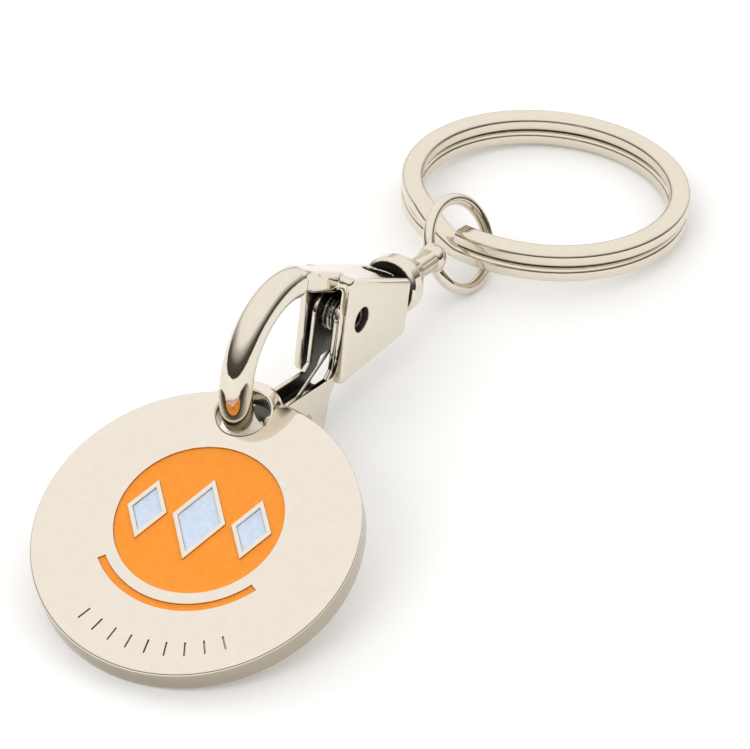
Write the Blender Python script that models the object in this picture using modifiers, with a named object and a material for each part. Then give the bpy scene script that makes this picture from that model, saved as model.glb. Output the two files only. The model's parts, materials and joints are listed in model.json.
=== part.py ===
"""Coin holder keyring: a snap hook with a sprung gate, the coin that hangs on it,
a swivel eye and a split ring. Lengths are in metres and +Z is up.

The hook lies along +X with its loop at the low X end. Its own frame has its origin at the
loop's centre, its X axis along the body towards the swivel and its Z axis towards the arm.
Run with: blender --background --python part.py
"""

import math

import bmesh
import bpy
from mathutils import Matrix, Vector

# Coin: a disc with an ear, and the hole in the ear that the hook's arm goes through
COIN_RADIUS = 0.0120
COIN_THICKNESS = 0.0020
COIN_EDGE_BEVEL = 0.00022
EAR_INSET = 0.0017
EAR_DISTANCE = COIN_RADIUS - EAR_INSET
EAR_RADIUS = 0.00295
EAR_FILLET_RADIUS = 0.0010
EAR_HOLE_RADIUS = 0.0020
# How the coin lies: heading of its steepest climb, and the print's turn from that climb
COIN_HEADING_DEG = 4.2
COIN_SPIN_DEG = 7.6

# Enamel on the coin's face: a round field clear of the ear's hole, with diamonds in it
POCKET_DEPTH = 0.00045
ENAMEL_THICKNESS = 0.00025
ENAMEL_GAP = 0.00006
FIELD_RISE = 0.0008
FIELD_HOLE_GAP = 0.0013
FIELD_RADIUS = EAR_DISTANCE - EAR_HOLE_RADIUS - FIELD_HOLE_GAP - FIELD_RISE
# The diamonds' half width and half height, their spacing and the metal border round them,
# as shares of the field's radius
MIDDLE_DIAMOND_SHARES = (0.266, 0.452)
SIDE_DIAMOND_SHARES = (0.185, 0.306)
DIAMOND_SPACING_SHARE = 0.645
BORDER_SHARE = 0.0516
BAR_GAP = 0.00085
BAR_WIDTH = 0.0006
BAR_HALF_SWEEP_DEG = 52.0
# Short cuts like a scale's, below the bar
TICK_COUNT = 9
TICK_HALF_SWEEP_DEG = 32.0
TICK_LENGTH = 0.0011
TICK_WIDTH = 0.00028
TICK_DEPTH = 0.0002
TICK_RIM_GAP = 0.0015

# Hook: the loop's arm is a round bar bent on one arc
HOOK_PITCH_DEG = 13.2
LOOP_HEIGHT = 0.00994
ARM_RADIUS = 0.00118
ARM_ARC_RADIUS = 0.00582
ARM_ARC_X = -0.00103
ARM_ARC_Z = -0.00013
ARM_END_DEG = -124.0
ARM_ROOT_DEG = 62.0
ARM_ROOT_RUN = 0.0038
# Where the coin's hole sits on the arm, and how far off the bar's middle it hangs
HOLE_ANGLE_DEG = -141.9
HOLE_INWARD_PLAY = 0.00019
HOLE_SIDE_PLAY = -0.00028

# Hook body: two cheeks with a top wall and a solid end for the swivel
BODY_HALF_WIDTH = 0.0022
BODY_FRONT_X = 0.0048
BODY_LENGTH = 0.0102
BODY_FRONT_TOP = 0.0049
BODY_WAIST_X = 0.0050
BODY_WAIST_Z = 0.0005
BODY_FOOT_X = 0.0051
BODY_FOOT_Z = -0.0043
BODY_END_TOP = 0.0015
BODY_END_BOTTOM = -0.0032
BODY_CORNER_RADIUS = 0.0007
BODY_EDGE_BEVEL = 0.0006
CAVITY_HALF_WIDTH = 0.0014
CAVITY_DEPTH = 0.0062
TOP_WALL = 0.00115
# The round window in the sloping top near the swivel
WINDOW_DIAMETER = 0.0025
WINDOW_DEPTH = 0.00055
WINDOW_END_WALL = 0.00055

# Gate: a hollow lever between the cheeks, turning on its rivet
GATE_HALF_WIDTH = 0.0012
GATE_WALL = 0.00045
GATE_FLOOR = 0.0008
GATE_EDGE_BEVEL = 0.00025
GATE_HUB_RADIUS = 0.0019
GATE_HUB_START_DEG = -15.0
GATE_TOP_Z = -0.0039
GATE_BOTTOM_Z = -0.0059
GATE_NOSE_DROP = 0.0008
GATE_NOSE_GAP = 0.0002
GATE_NECK_RADIUS = 0.0006
LUG_X = 0.0042
LUG_RADIUS = 0.0011
GATE_HEEL = 0.0002
RIVET_X = 0.0073
RIVET_Z = 0.0007
RIVET_RADIUS = 0.00095
RIVET_RUNNING_GAP = 0.00006
RIVET_SUNK = 0.00025
RIVET_BORE_RADIUS = 0.0005
RIVET_BORE_DEPTH = 0.0006
SPRING_WIRE_RADIUS = 0.00014
SPRING_TURNS = 3
SPRING_STEPS_PER_TURN = 12
SPRING_PITCH = 0.00036
SPRING_COIL_GAP = 0.0003
SPRING_LEG_END_X = 0.0010
SPRING_BACK_LEG = 0.0021

# Swivel: a collar and cone on a headed shank, with a loop of round wire for the split ring
SWIVEL_GAP = 0.00015
COLLAR_RADIUS = 0.00245
COLLAR_LENGTH = 0.0014
COLLAR_CHAMFER = 0.0003
CONE_LENGTH = 0.00285
CONE_END_RADIUS = 0.0010
NECK_RADIUS = 0.00095
EYE_DISTANCE = 0.0270
EYE_RADIUS = 0.0037
EYE_WIRE_RADIUS = 0.0005
EYE_ROOT_RADIUS = 0.0012
# How the loop stands: its turn about the swivel's axis and its lean off that axis
EYE_TURN_DEG = 27.0
EYE_LEAN_DEG = 9.0
SHANK_RADIUS = 0.0008
SHANK_RUNNING_GAP = 0.00006
HEAD_RADIUS = 0.0013
HEAD_THICKNESS = 0.0007
HEAD_SEAT_GAP = 0.00006

# Split ring: one flat wire wound twice round
RING_OUTER_RADIUS = 0.0123
RING_WIRE_WIDTH = 0.00185
RING_WIRE_HEIGHT = 0.00135
RING_WIRE_CHAMFER = 0.00035
RING_LAYER_GAP = 0.0001
RING_EYE_OFFSET = 0.0009
RING_EYE_DROP = 0.0005
RING_YAW_DEG = -8.0
RING_END_DEG = 178.0
RING_RAMP_DEG = 26.0
RING_END_GAP_DEG = 2.0

# Fineness of the facets, and the overrun of every cut
ARC_STEP_DEG = 5.0
MIDDLE_ARC_STEP_DEG = 15.0
SMALL_ARC_STEP_DEG = 22.5
RING_STEPS_PER_TURN = 52
EYE_SIDES = 40
BALL_SIDES = 16
ROUND_SIDES = 28
BAR_RESOLUTION = 3
WIRE_RESOLUTION = 1
OVERRUN = 0.0004
MERGE = 0.00001
SMOOTH_ANGLE_DEG = 35.0
BEVEL_ANGLE_DEG = 50.0

COLLECTION_NAME = "coin_keyring"
CUTTER_COLLECTION_NAME = "cutters"


def clear_scene():
    for old in list(bpy.data.objects):
        bpy.data.objects.remove(old, do_unlink=True)


def new_collection(name):
    made = bpy.data.collections.new(name)
    bpy.context.scene.collection.children.link(made)
    return made


def principled(name, colour, roughness, metallic):
    material = bpy.data.materials.new(name)
    material.use_nodes = True
    shader = material.node_tree.nodes["Principled BSDF"]
    shader.inputs["Base Color"].default_value = (*colour, 1.0)
    shader.inputs["Roughness"].default_value = roughness
    shader.inputs["Metallic"].default_value = metallic
    return material


def polar(radius, degrees, x=0.0, y=0.0):
    angle = math.radians(degrees)
    return Vector((x + radius * math.cos(angle), y + radius * math.sin(angle)))


def arc(radius, start_deg, end_deg, x=0.0, y=0.0, step_deg=ARC_STEP_DEG):
    """Points on an arc, both ends included."""
    count = max(2, math.ceil(abs(end_deg - start_deg) / step_deg - 1e-9))
    sweep = end_deg - start_deg
    return [polar(radius, start_deg + sweep * i / count, x, y) for i in range(count + 1)]


def circle(radius, x=0.0, y=0.0, sides=ROUND_SIDES):
    return [polar(radius, 360.0 * i / sides, x, y) for i in range(sides)]


def rounded(corners, step_deg=SMALL_ARC_STEP_DEG):
    """A closed outline through corners (x, y, radius), each rounded to its radius."""
    points = []
    count = len(corners)
    for i in range(count):
        corner = Vector(corners[i][:2])
        radius = corners[i][2]
        if radius == 0.0:
            points.append(corner)
            continue
        back = (Vector(corners[i - 1][:2]) - corner).normalized()
        ahead = (Vector(corners[(i + 1) % count][:2]) - corner).normalized()
        half = back.angle(ahead) / 2
        centre = corner + (back + ahead).normalized() * (radius / math.sin(half))
        first = corner + back * (radius / math.tan(half)) - centre
        last = corner + ahead * (radius / math.tan(half)) - centre
        sweep = first.angle_signed(last)
        steps = max(1, round(abs(math.degrees(sweep)) / step_deg))
        for k in range(steps + 1):
            turned = first.copy()
            turned.rotate(Matrix.Rotation(-sweep * k / steps, 2))
            points.append(centre + turned)
    return points


def weld(mesh):
    work = bmesh.new()
    work.from_mesh(mesh)
    bmesh.ops.remove_doubles(work, verts=work.verts, dist=MERGE)
    bmesh.ops.recalc_face_normals(work, faces=work.faces)
    work.to_mesh(mesh)
    work.free()


def curve_to_mesh(curve, name):
    """The curve's own surface as a welded mesh; the curve is removed."""
    holder = bpy.data.objects.new(name, curve)
    bpy.context.scene.collection.objects.link(holder)
    graph = bpy.context.evaluated_depsgraph_get()
    mesh = bpy.data.meshes.new_from_object(holder.evaluated_get(graph))
    bpy.data.objects.remove(holder, do_unlink=True)
    bpy.data.curves.remove(curve)
    weld(mesh)
    return mesh


def plate_mesh(name, outlines, half_thickness):
    """A flat plate in XY, centred on Z: outer outlines and the holes in them."""
    curve = bpy.data.curves.new(name, "CURVE")
    curve.dimensions = "2D"
    curve.fill_mode = "BOTH"
    curve.extrude = half_thickness
    for outline in outlines:
        spline = curve.splines.new("POLY")
        spline.points.add(len(outline) - 1)
        for point, place in zip(spline.points, outline):
            point.co = (place.x, place.y, 0.0, 1.0)
        spline.use_cyclic_u = True
    return curve_to_mesh(curve, name)


def side_plate_mesh(name, outlines, half_thickness):
    """A flat plate in the hook's XZ plane, centred on Y."""
    mesh = plate_mesh(name, outlines, half_thickness)
    mesh.transform(Matrix.Rotation(math.radians(90.0), 4, "X"))
    return mesh


def tube_mesh(name, points, radius, resolution, closed=False):
    """A round bar along points, with capped ends or closed to a loop."""
    curve = bpy.data.curves.new(name, "CURVE")
    curve.dimensions = "3D"
    curve.bevel_depth = radius
    curve.bevel_resolution = resolution
    curve.use_fill_caps = True
    spline = curve.splines.new("POLY")
    spline.points.add(len(points) - 1)
    for point, place in zip(spline.points, points):
        point.co = (*place, 1.0)
    spline.use_cyclic_u = closed
    return curve_to_mesh(curve, name)


def turned_mesh(name, profile, axis_matrix, sides=ROUND_SIDES):
    """A solid of revolution; profile is (radius, height) from the top down, at the axis twice."""
    mesh = bpy.data.meshes.new(name)
    work = bmesh.new()
    verts = [work.verts.new((r, 0.0, h)) for r, h in profile]
    for a, b in zip(verts, verts[1:]):
        work.edges.new((a, b))
    work.to_mesh(mesh)
    work.free()
    holder = bpy.data.objects.new(name, mesh)
    bpy.context.scene.collection.objects.link(holder)
    screw = holder.modifiers.new("turn", "SCREW")
    screw.steps = sides
    screw.render_steps = sides
    screw.use_merge_vertices = True
    screw.merge_threshold = MERGE
    graph = bpy.context.evaluated_depsgraph_get()
    turned = bpy.data.meshes.new_from_object(holder.evaluated_get(graph))
    bpy.data.objects.remove(holder, do_unlink=True)
    bpy.data.meshes.remove(mesh)
    weld(turned)
    turned.transform(axis_matrix)
    return turned


ALONG_X = Matrix.Rotation(math.radians(90.0), 4, "Y")
ALONG_Y = Matrix.Rotation(math.radians(-90.0), 4, "X")


class Builder:
    """Places the pieces under the empties that stand on their joints' axes."""

    def __init__(self):
        self.parts = new_collection(COLLECTION_NAME)
        self.cutters = new_collection(CUTTER_COLLECTION_NAME)
        self.root = self.empty("assembly", Matrix.Identity(4), None)

    def empty(self, name, matrix, parent):
        made = bpy.data.objects.new(name, None)
        self.parts.objects.link(made)
        made.parent = parent
        made.matrix_basis = matrix
        return made

    def piece(self, name, mesh, parent, matrix, material):
        made = bpy.data.objects.new(name, mesh)
        self.parts.objects.link(made)
        made.parent = parent
        made.matrix_basis = matrix
        mesh.materials.clear()
        mesh.materials.append(material)
        mesh.shade_smooth()
        mesh.set_sharp_from_angle(angle=math.radians(SMOOTH_ANGLE_DEG))
        return made

    def boolean(self, target, mesh, operation):
        tool = bpy.data.objects.new(mesh.name, mesh)
        self.cutters.objects.link(tool)
        tool.parent = target.parent
        tool.matrix_basis = target.matrix_basis.copy()
        tool.hide_render = True
        tool.display_type = "WIRE"
        modifier = target.modifiers.new(mesh.name, "BOOLEAN")
        modifier.operation = operation
        modifier.solver = "EXACT"
        modifier.object = tool

    def cut(self, target, mesh):
        self.boolean(target, mesh, "DIFFERENCE")

    def join(self, target, mesh):
        self.boolean(target, mesh, "UNION")


def add_bevel(target, width, segments):
    bevel = target.modifiers.new("rounded_edges", "BEVEL")
    bevel.width = width
    bevel.segments = segments
    bevel.limit_method = "ANGLE"
    bevel.angle_limit = math.radians(BEVEL_ANGLE_DEG)


# Places in the hook's own frame and in the whole keyring


def rest_angle(reach, half_thickness, height):
    """Tilt at which a plate's far lower edge is on the floor and a point on it at a height."""
    whole = math.hypot(reach, half_thickness)
    return math.asin(height / whole) - math.atan2(half_thickness, reach)


def hook_matrix():
    """The loop's centre and the hook's lean on its thumb lug."""
    pitch = math.radians(HOOK_PITCH_DEG)
    return Matrix.Translation((0.0, 0.0, LOOP_HEIGHT)) @ Matrix.Rotation(pitch, 4, "Y")


def on_arm(radius, degrees):
    """A point (x, z) in the hook's frame, round the arm's arc."""
    return polar(radius, degrees, ARM_ARC_X, ARM_ARC_Z)


def coin_matrix():
    """The coin's own frame: X to the right of its face, Y to its ear, Z out of its face."""
    hole = on_arm(ARM_ARC_RADIUS - HOLE_INWARD_PLAY, HOLE_ANGLE_DEG)
    hole_place = hook_matrix() @ Vector((hole.x, HOLE_SIDE_PLAY, hole.y))
    spin = math.radians(COIN_SPIN_DEG)
    reach = COIN_RADIUS + EAR_DISTANCE * math.cos(spin)
    tilt = rest_angle(reach, COIN_THICKNESS / 2, hole_place.z)
    heading = Matrix.Rotation(math.radians(COIN_HEADING_DEG), 3, "Z")
    climb = heading @ Vector((math.cos(tilt), 0.0, math.sin(tilt)))
    normal = heading @ Vector((-math.sin(tilt), 0.0, math.cos(tilt)))
    up = climb * math.cos(spin) + normal.cross(climb) * math.sin(spin)
    right = up.cross(normal)
    turn = Matrix((right, up, normal)).transposed().to_4x4()
    centre = hole_place - up * EAR_DISTANCE
    return Matrix.Translation(centre) @ turn


def coin_pivot():
    return hook_matrix() @ Vector((ARM_ARC_X, 0.0, ARM_ARC_Z))


def gate_pivot():
    return hook_matrix() @ Vector((RIVET_X, 0.0, RIVET_Z))


def eye_centre():
    return hook_matrix() @ Vector((EYE_DISTANCE, 0.0, 0.0))


def body_end_x():
    return BODY_FRONT_X + BODY_LENGTH


def body_top_z(x):
    """Height of the body's sloping top at x."""
    share = (x - BODY_FRONT_X) / BODY_LENGTH
    return BODY_FRONT_TOP + (BODY_END_TOP - BODY_FRONT_TOP) * share


# The coin and its enamel, in the coin's own frame


def coin_outline():
    """Disc, fillets and ear in one outline, from the right fillet clockwise."""
    far = COIN_RADIUS + EAR_FILLET_RADIUS
    near = EAR_RADIUS + EAR_FILLET_RADIUS
    y = (EAR_DISTANCE**2 + far**2 - near**2) / (2 * EAR_DISTANCE)
    x = math.sqrt(far**2 - y**2)
    disc_deg = math.degrees(math.atan2(y, x))
    ear_deg = math.degrees(math.atan2(y - EAR_DISTANCE, x))
    points = arc(COIN_RADIUS, disc_deg, 180.0 - disc_deg - 360.0)
    points += arc(
        EAR_FILLET_RADIUS, -disc_deg, -ear_deg, -x, y, SMALL_ARC_STEP_DEG
    )[1:]
    points += arc(EAR_RADIUS, 180.0 - ear_deg, ear_deg, 0.0, EAR_DISTANCE, MIDDLE_ARC_STEP_DEG)[1:]
    points += arc(
        EAR_FILLET_RADIUS, ear_deg + 180.0, disc_deg + 180.0, x, y, SMALL_ARC_STEP_DEG
    )[1:-1]
    return points


def diamond(shares, x, grow):
    """A diamond on the field's middle line; its sides move out by grow."""
    half_width = FIELD_RADIUS * shares[0]
    half_height = FIELD_RADIUS * shares[1]
    slant = math.hypot(half_width, half_height)
    wide = half_width + grow * slant / half_height
    tall = half_height + grow * slant / half_width
    return [
        Vector((x + wide, FIELD_RISE)),
        Vector((x, FIELD_RISE + tall)),
        Vector((x - wide, FIELD_RISE)),
        Vector((x, FIELD_RISE - tall)),
    ]


def diamonds(grow):
    spacing = FIELD_RADIUS * DIAMOND_SPACING_SHARE
    return {
        "left": diamond(SIDE_DIAMOND_SHARES, -spacing, grow),
        "centre": diamond(MIDDLE_DIAMOND_SHARES, 0.0, grow),
        "right": diamond(SIDE_DIAMOND_SHARES, spacing, grow),
    }


def field_outlines(shrink):
    """The round field with its diamond islands; shrink narrows it on every side."""
    islands = list(diamonds(FIELD_RADIUS * BORDER_SHARE + shrink).values())
    return [circle(FIELD_RADIUS - shrink, 0.0, FIELD_RISE, 2 * ROUND_SIDES)] + islands


def bar_outline(shrink):
    """The thin bow under the field."""
    inner = FIELD_RADIUS + BAR_GAP + shrink
    outer = FIELD_RADIUS + BAR_GAP + BAR_WIDTH - shrink
    less_deg = math.degrees(shrink / outer)
    first = -90.0 - BAR_HALF_SWEEP_DEG + less_deg
    last = -90.0 + BAR_HALF_SWEEP_DEG - less_deg
    points = arc(outer, first, last, 0.0, FIELD_RISE)
    return points + arc(inner, last, first, 0.0, FIELD_RISE)


def tick_outlines():
    """Short radial cuts on an arc near the lower rim."""
    outlines = []
    radius = COIN_RADIUS - TICK_RIM_GAP
    for i in range(TICK_COUNT):
        turn = -90.0 - TICK_HALF_SWEEP_DEG + 2 * TICK_HALF_SWEEP_DEG * i / (TICK_COUNT - 1)
        outer = polar(radius, turn)
        inner = polar(radius - TICK_LENGTH, turn)
        side = polar(TICK_WIDTH / 2, turn + 90.0)
        outlines.append([outer + side, inner + side, inner - side, outer - side])
    return outlines


def raised_plate(name, outlines, low, high):
    """A plate between two heights."""
    mesh = plate_mesh(name, outlines, (high - low) / 2)
    mesh.transform(Matrix.Translation((0.0, 0.0, (high + low) / 2)))
    return mesh


def make_coin(builder, nickel, orange, pale):
    pivot = builder.empty("coin_pivot", Matrix.Translation(coin_pivot()), builder.root)
    place = Matrix.Translation(-coin_pivot()) @ coin_matrix()
    hole = circle(EAR_HOLE_RADIUS, 0.0, EAR_DISTANCE)
    mesh = plate_mesh("coin_disc", [coin_outline(), hole], COIN_THICKNESS / 2)
    coin = builder.piece("coin_disc", mesh, pivot, place, nickel)
    add_bevel(coin, COIN_EDGE_BEVEL, 2)
    face = COIN_THICKNESS / 2
    above = face + OVERRUN
    pocket = field_outlines(0.0) + list(diamonds(0.0).values()) + [bar_outline(0.0)]
    builder.cut(coin, raised_plate("pockets", pocket, face - POCKET_DEPTH, above))
    builder.cut(coin, raised_plate("ticks", tick_outlines(), face - TICK_DEPTH, above))

    low = face - POCKET_DEPTH + ENAMEL_GAP
    high = low + ENAMEL_THICKNESS
    field = raised_plate("orange_enamel", field_outlines(ENAMEL_GAP), low, high)
    builder.piece("orange_enamel", field, pivot, place, orange)
    bar = raised_plate("orange_enamel_bar", [bar_outline(ENAMEL_GAP)], low, high)
    builder.piece("orange_enamel_bar", bar, pivot, place, orange)
    for side, outline in diamonds(-ENAMEL_GAP).items():
        name = "pale_enamel_" + side
        builder.piece(name, raised_plate(name, [outline], low, high), pivot, place, pale)


# The hook's body, with its arm, in the hook's own frame


def arm_points():
    """The arm's middle line from its root on the body round to its tip."""
    slope_deg = math.degrees(
        math.atan2(BODY_FRONT_TOP - BODY_END_TOP, BODY_LENGTH)
    )
    bend = arc(ARM_ARC_RADIUS, ARM_ROOT_DEG, ARM_END_DEG + 360.0, ARM_ARC_X, ARM_ARC_Z)
    root = bend[0] + polar(ARM_ROOT_RUN, -slope_deg)
    return [Vector((p.x, 0.0, p.y)) for p in [root] + bend]


def body_corners():
    end = body_end_x()
    radius = BODY_CORNER_RADIUS
    return [
        (BODY_FRONT_X, BODY_FRONT_TOP, radius),
        (BODY_WAIST_X, BODY_WAIST_Z, 0.0),
        (BODY_FOOT_X, BODY_FOOT_Z, radius),
        (end, BODY_END_BOTTOM, radius),
        (end, BODY_END_TOP, 0.0),
    ]


def cavity_outline():
    """The space between the cheeks, open at the front and below."""
    front = BODY_FRONT_X - OVERRUN
    back = BODY_FRONT_X + CAVITY_DEPTH
    below = BODY_FOOT_Z - OVERRUN
    return [
        Vector((front, below)),
        Vector((back, below)),
        Vector((back, body_top_z(back) - TOP_WALL)),
        Vector((front, body_top_z(front) - TOP_WALL)),
    ]


def window_mesh():
    """The round window cut down into the sloping top."""
    end = body_end_x() - WINDOW_END_WALL
    start = end - WINDOW_DIAMETER
    radius = WINDOW_DIAMETER / 2
    floor = body_top_z(end) - WINDOW_DEPTH
    outline = circle(radius, end - radius, 0.0)
    return raised_plate("window", [outline], floor, body_top_z(start) + OVERRUN)


def along_y(radius, half_length, sides=ROUND_SIDES):
    """A bar across the hook at the gate's rivet."""
    profile = [(0.0, half_length), (radius, half_length), (radius, -half_length), (0.0, -half_length)]
    place = Matrix.Translation((RIVET_X, 0.0, RIVET_Z)) @ ALONG_Y
    return turned_mesh("rivet_bore", profile, place, sides)


def along_x(name, radius, start, end):
    """A bar on the swivel's axis."""
    profile = [(0.0, end), (radius, end), (radius, start), (0.0, start)]
    return turned_mesh(name, profile, ALONG_X)


def make_hook(builder, hook, nickel):
    place = Matrix.Identity(4)
    mesh = side_plate_mesh("hook_body", [rounded(body_corners())], BODY_HALF_WIDTH)
    body = builder.piece("hook_body", mesh, hook, place, nickel)
    add_bevel(body, BODY_EDGE_BEVEL, 3)
    builder.cut(body, side_plate_mesh("cavity", [cavity_outline()], CAVITY_HALF_WIDTH))
    builder.join(body, tube_mesh("arm", arm_points(), ARM_RADIUS, BAR_RESOLUTION))
    builder.cut(body, window_mesh())
    bore = RIVET_RADIUS + RIVET_RUNNING_GAP
    builder.cut(body, along_y(bore, BODY_HALF_WIDTH + OVERRUN))
    shank_bore = SHANK_RADIUS + SHANK_RUNNING_GAP
    start = BODY_FRONT_X + CAVITY_DEPTH - OVERRUN
    builder.cut(body, along_x("shank_bore", shank_bore, start, body_end_x() + OVERRUN))


def make_gate_rivet(builder, hook, nickel):
    """A rivet with a small bore in each end, a little below the cheeks' faces."""
    half = BODY_HALF_WIDTH - RIVET_SUNK
    floor = half - RIVET_BORE_DEPTH
    round_off = RIVET_SUNK
    profile = [
        (0.0, floor),
        (RIVET_BORE_RADIUS, floor),
        (RIVET_BORE_RADIUS, half - round_off),
        (RIVET_BORE_RADIUS + round_off / 2, half),
        (RIVET_RADIUS - round_off / 2, half),
        (RIVET_RADIUS, half - round_off),
    ]
    profile += [(r, -h) for r, h in reversed(profile)]
    place = Matrix.Translation((RIVET_X, 0.0, RIVET_Z)) @ ALONG_Y
    mesh = turned_mesh("gate_rivet", profile, place)
    builder.piece("gate_rivet", mesh, hook, Matrix.Identity(4), nickel)


# The gate, in a frame at its rivet


def gate_outline():
    """Side view of the gate: nose, finger, thumb lug and hub."""
    outer_radius = ARM_ARC_RADIUS + ARM_RADIUS
    inner_radius = ARM_ARC_RADIUS - ARM_RADIUS
    past_deg = math.degrees(GATE_NOSE_GAP / ARM_ARC_RADIUS)
    nose_deg = ARM_END_DEG + past_deg
    nose_in = on_arm(inner_radius, nose_deg)
    nose_out = on_arm(outer_radius, nose_deg)
    lug_z = lug_centre_z()
    lug_left = LUG_X - LUG_RADIUS
    neck = GATE_NECK_RADIUS
    lower = rounded([
        (nose_in.x, nose_in.y, 0.0),
        (nose_out.x, nose_out.y, 0.0),
        (nose_out.x + GATE_NOSE_DROP, nose_out.y - GATE_NOSE_DROP, GATE_NOSE_DROP),
        (0.0, GATE_BOTTOM_Z, GATE_NOSE_DROP),
        (lug_left, GATE_BOTTOM_Z, neck),
        (lug_left, lug_z, 0.0),
    ])
    cup = arc(LUG_RADIUS, 180.0, 360.0, LUG_X, lug_z, SMALL_ARC_STEP_DEG)
    heel = [Vector((LUG_X + LUG_RADIUS + GATE_HEEL, GATE_BOTTOM_Z + GATE_FLOOR / 2))]
    hub = arc(GATE_HUB_RADIUS, GATE_HUB_START_DEG, 180.0, RIVET_X, RIVET_Z, MIDDLE_ARC_STEP_DEG)
    upper = [
        Vector((RIVET_X - GATE_HUB_RADIUS, GATE_TOP_Z + neck)),
        Vector((RIVET_X - GATE_HUB_RADIUS - neck, GATE_TOP_Z)),
        Vector((-neck, GATE_TOP_Z)),
    ]
    return lower + cup[1:] + heel + hub + upper


def lug_centre_z():
    """Height of the lug's round end, in the hook's frame, that stands it on the floor."""
    frame = hook_matrix()
    pitch = math.radians(HOOK_PITCH_DEG)
    return (LUG_RADIUS - frame.translation.z + LUG_X * math.sin(pitch)) / math.cos(pitch)


def channel_outline():
    """The gate's hollow, open to the loop and round the hub."""
    floor = GATE_BOTTOM_Z + GATE_FLOOR
    right = RIVET_X + GATE_HUB_RADIUS + OVERRUN
    above = RIVET_Z + GATE_HUB_RADIUS + OVERRUN
    return [
        Vector((ARM_ARC_X - GATE_FLOOR, above)),
        Vector((ARM_ARC_X - GATE_FLOOR, floor)),
        Vector((right, floor)),
        Vector((right, above)),
    ]


def make_gate(builder, hook, nickel):
    """The gate's mesh stands in a frame at the rivet, so its origin is on its joint's axis."""
    at_rivet = Matrix.Translation((RIVET_X, 0.0, RIVET_Z))
    pivot = builder.empty("gate_pivot", at_rivet, hook)
    back = at_rivet.inverted()

    def moved(mesh):
        mesh.transform(back)
        return mesh

    mesh = moved(side_plate_mesh("gate", [gate_outline()], GATE_HALF_WIDTH))
    gate = builder.piece("gate", mesh, pivot, Matrix.Identity(4), nickel)
    add_bevel(gate, GATE_EDGE_BEVEL, 2)
    hollow = GATE_HALF_WIDTH - GATE_WALL
    builder.cut(gate, moved(side_plate_mesh("channel", [channel_outline()], hollow)))
    bore = RIVET_RADIUS + RIVET_RUNNING_GAP
    builder.cut(gate, moved(along_y(bore, GATE_HALF_WIDTH + OVERRUN)))


def spring_points():
    """The spring's middle line: a leg in the gate, the coil, and a leg to the body."""
    radius = RIVET_RADIUS + SPRING_COIL_GAP + SPRING_WIRE_RADIUS
    leg_z = GATE_BOTTOM_Z + GATE_FLOOR + SPRING_COIL_GAP + SPRING_WIRE_RADIUS
    width = SPRING_PITCH * SPRING_TURNS
    steps = SPRING_STEPS_PER_TURN * SPRING_TURNS
    points = []
    reach = Vector((SPRING_LEG_END_X - RIVET_X, leg_z - RIVET_Z))
    tangent_deg = math.degrees(math.atan2(reach.y, reach.x) + math.acos(radius / reach.length))
    points.append(Vector((SPRING_LEG_END_X, -width / 2, leg_z)))
    for i in range(steps + 1):
        turned_deg = tangent_deg + 360.0 * SPRING_TURNS * i / steps
        place = polar(radius, turned_deg, RIVET_X, RIVET_Z)
        points.append(Vector((place.x, -width / 2 + width * i / steps, place.y)))
    return points, tangent_deg, radius


def make_spring(builder, hook, steel):
    points, tangent_deg, radius = spring_points()
    away = polar(SPRING_BACK_LEG, tangent_deg + 90.0)
    last = points[-1]
    points.append(Vector((last.x + away.x, last.y, last.z + away.y)))
    mesh = tube_mesh("gate_spring", points, SPRING_WIRE_RADIUS, WIRE_RESOLUTION)
    builder.piece("gate_spring", mesh, hook, Matrix.Identity(4), steel)


# The swivel with its eye, and the split ring


def eye_matrix():
    """The loop's own frame in the hook's: the loop lies in its XZ plane."""
    turn = Matrix.Rotation(math.radians(-EYE_TURN_DEG), 4, "X")
    lean = Matrix.Rotation(math.radians(-EYE_LEAN_DEG), 4, "Z")
    return Matrix.Translation((EYE_DISTANCE, 0.0, 0.0)) @ turn @ lean


def shank_profile():
    """Cone, collar and shank down to the head between the cheeks."""
    start = body_end_x() + SWIVEL_GAP
    shoulder = start + COLLAR_LENGTH
    foot = BODY_FRONT_X + CAVITY_DEPTH - HEAD_SEAT_GAP
    return [
        (0.0, shoulder + CONE_LENGTH),
        (CONE_END_RADIUS, shoulder + CONE_LENGTH),
        (COLLAR_RADIUS, shoulder),
        (COLLAR_RADIUS, start + COLLAR_CHAMFER),
        (COLLAR_RADIUS - COLLAR_CHAMFER, start),
        (SHANK_RADIUS, start),
        (SHANK_RADIUS, foot),
        (HEAD_RADIUS, foot),
        (HEAD_RADIUS, foot - HEAD_THICKNESS / 2),
        (HEAD_RADIUS / 2, foot - HEAD_THICKNESS),
        (0.0, foot - HEAD_THICKNESS),
    ]


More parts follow.
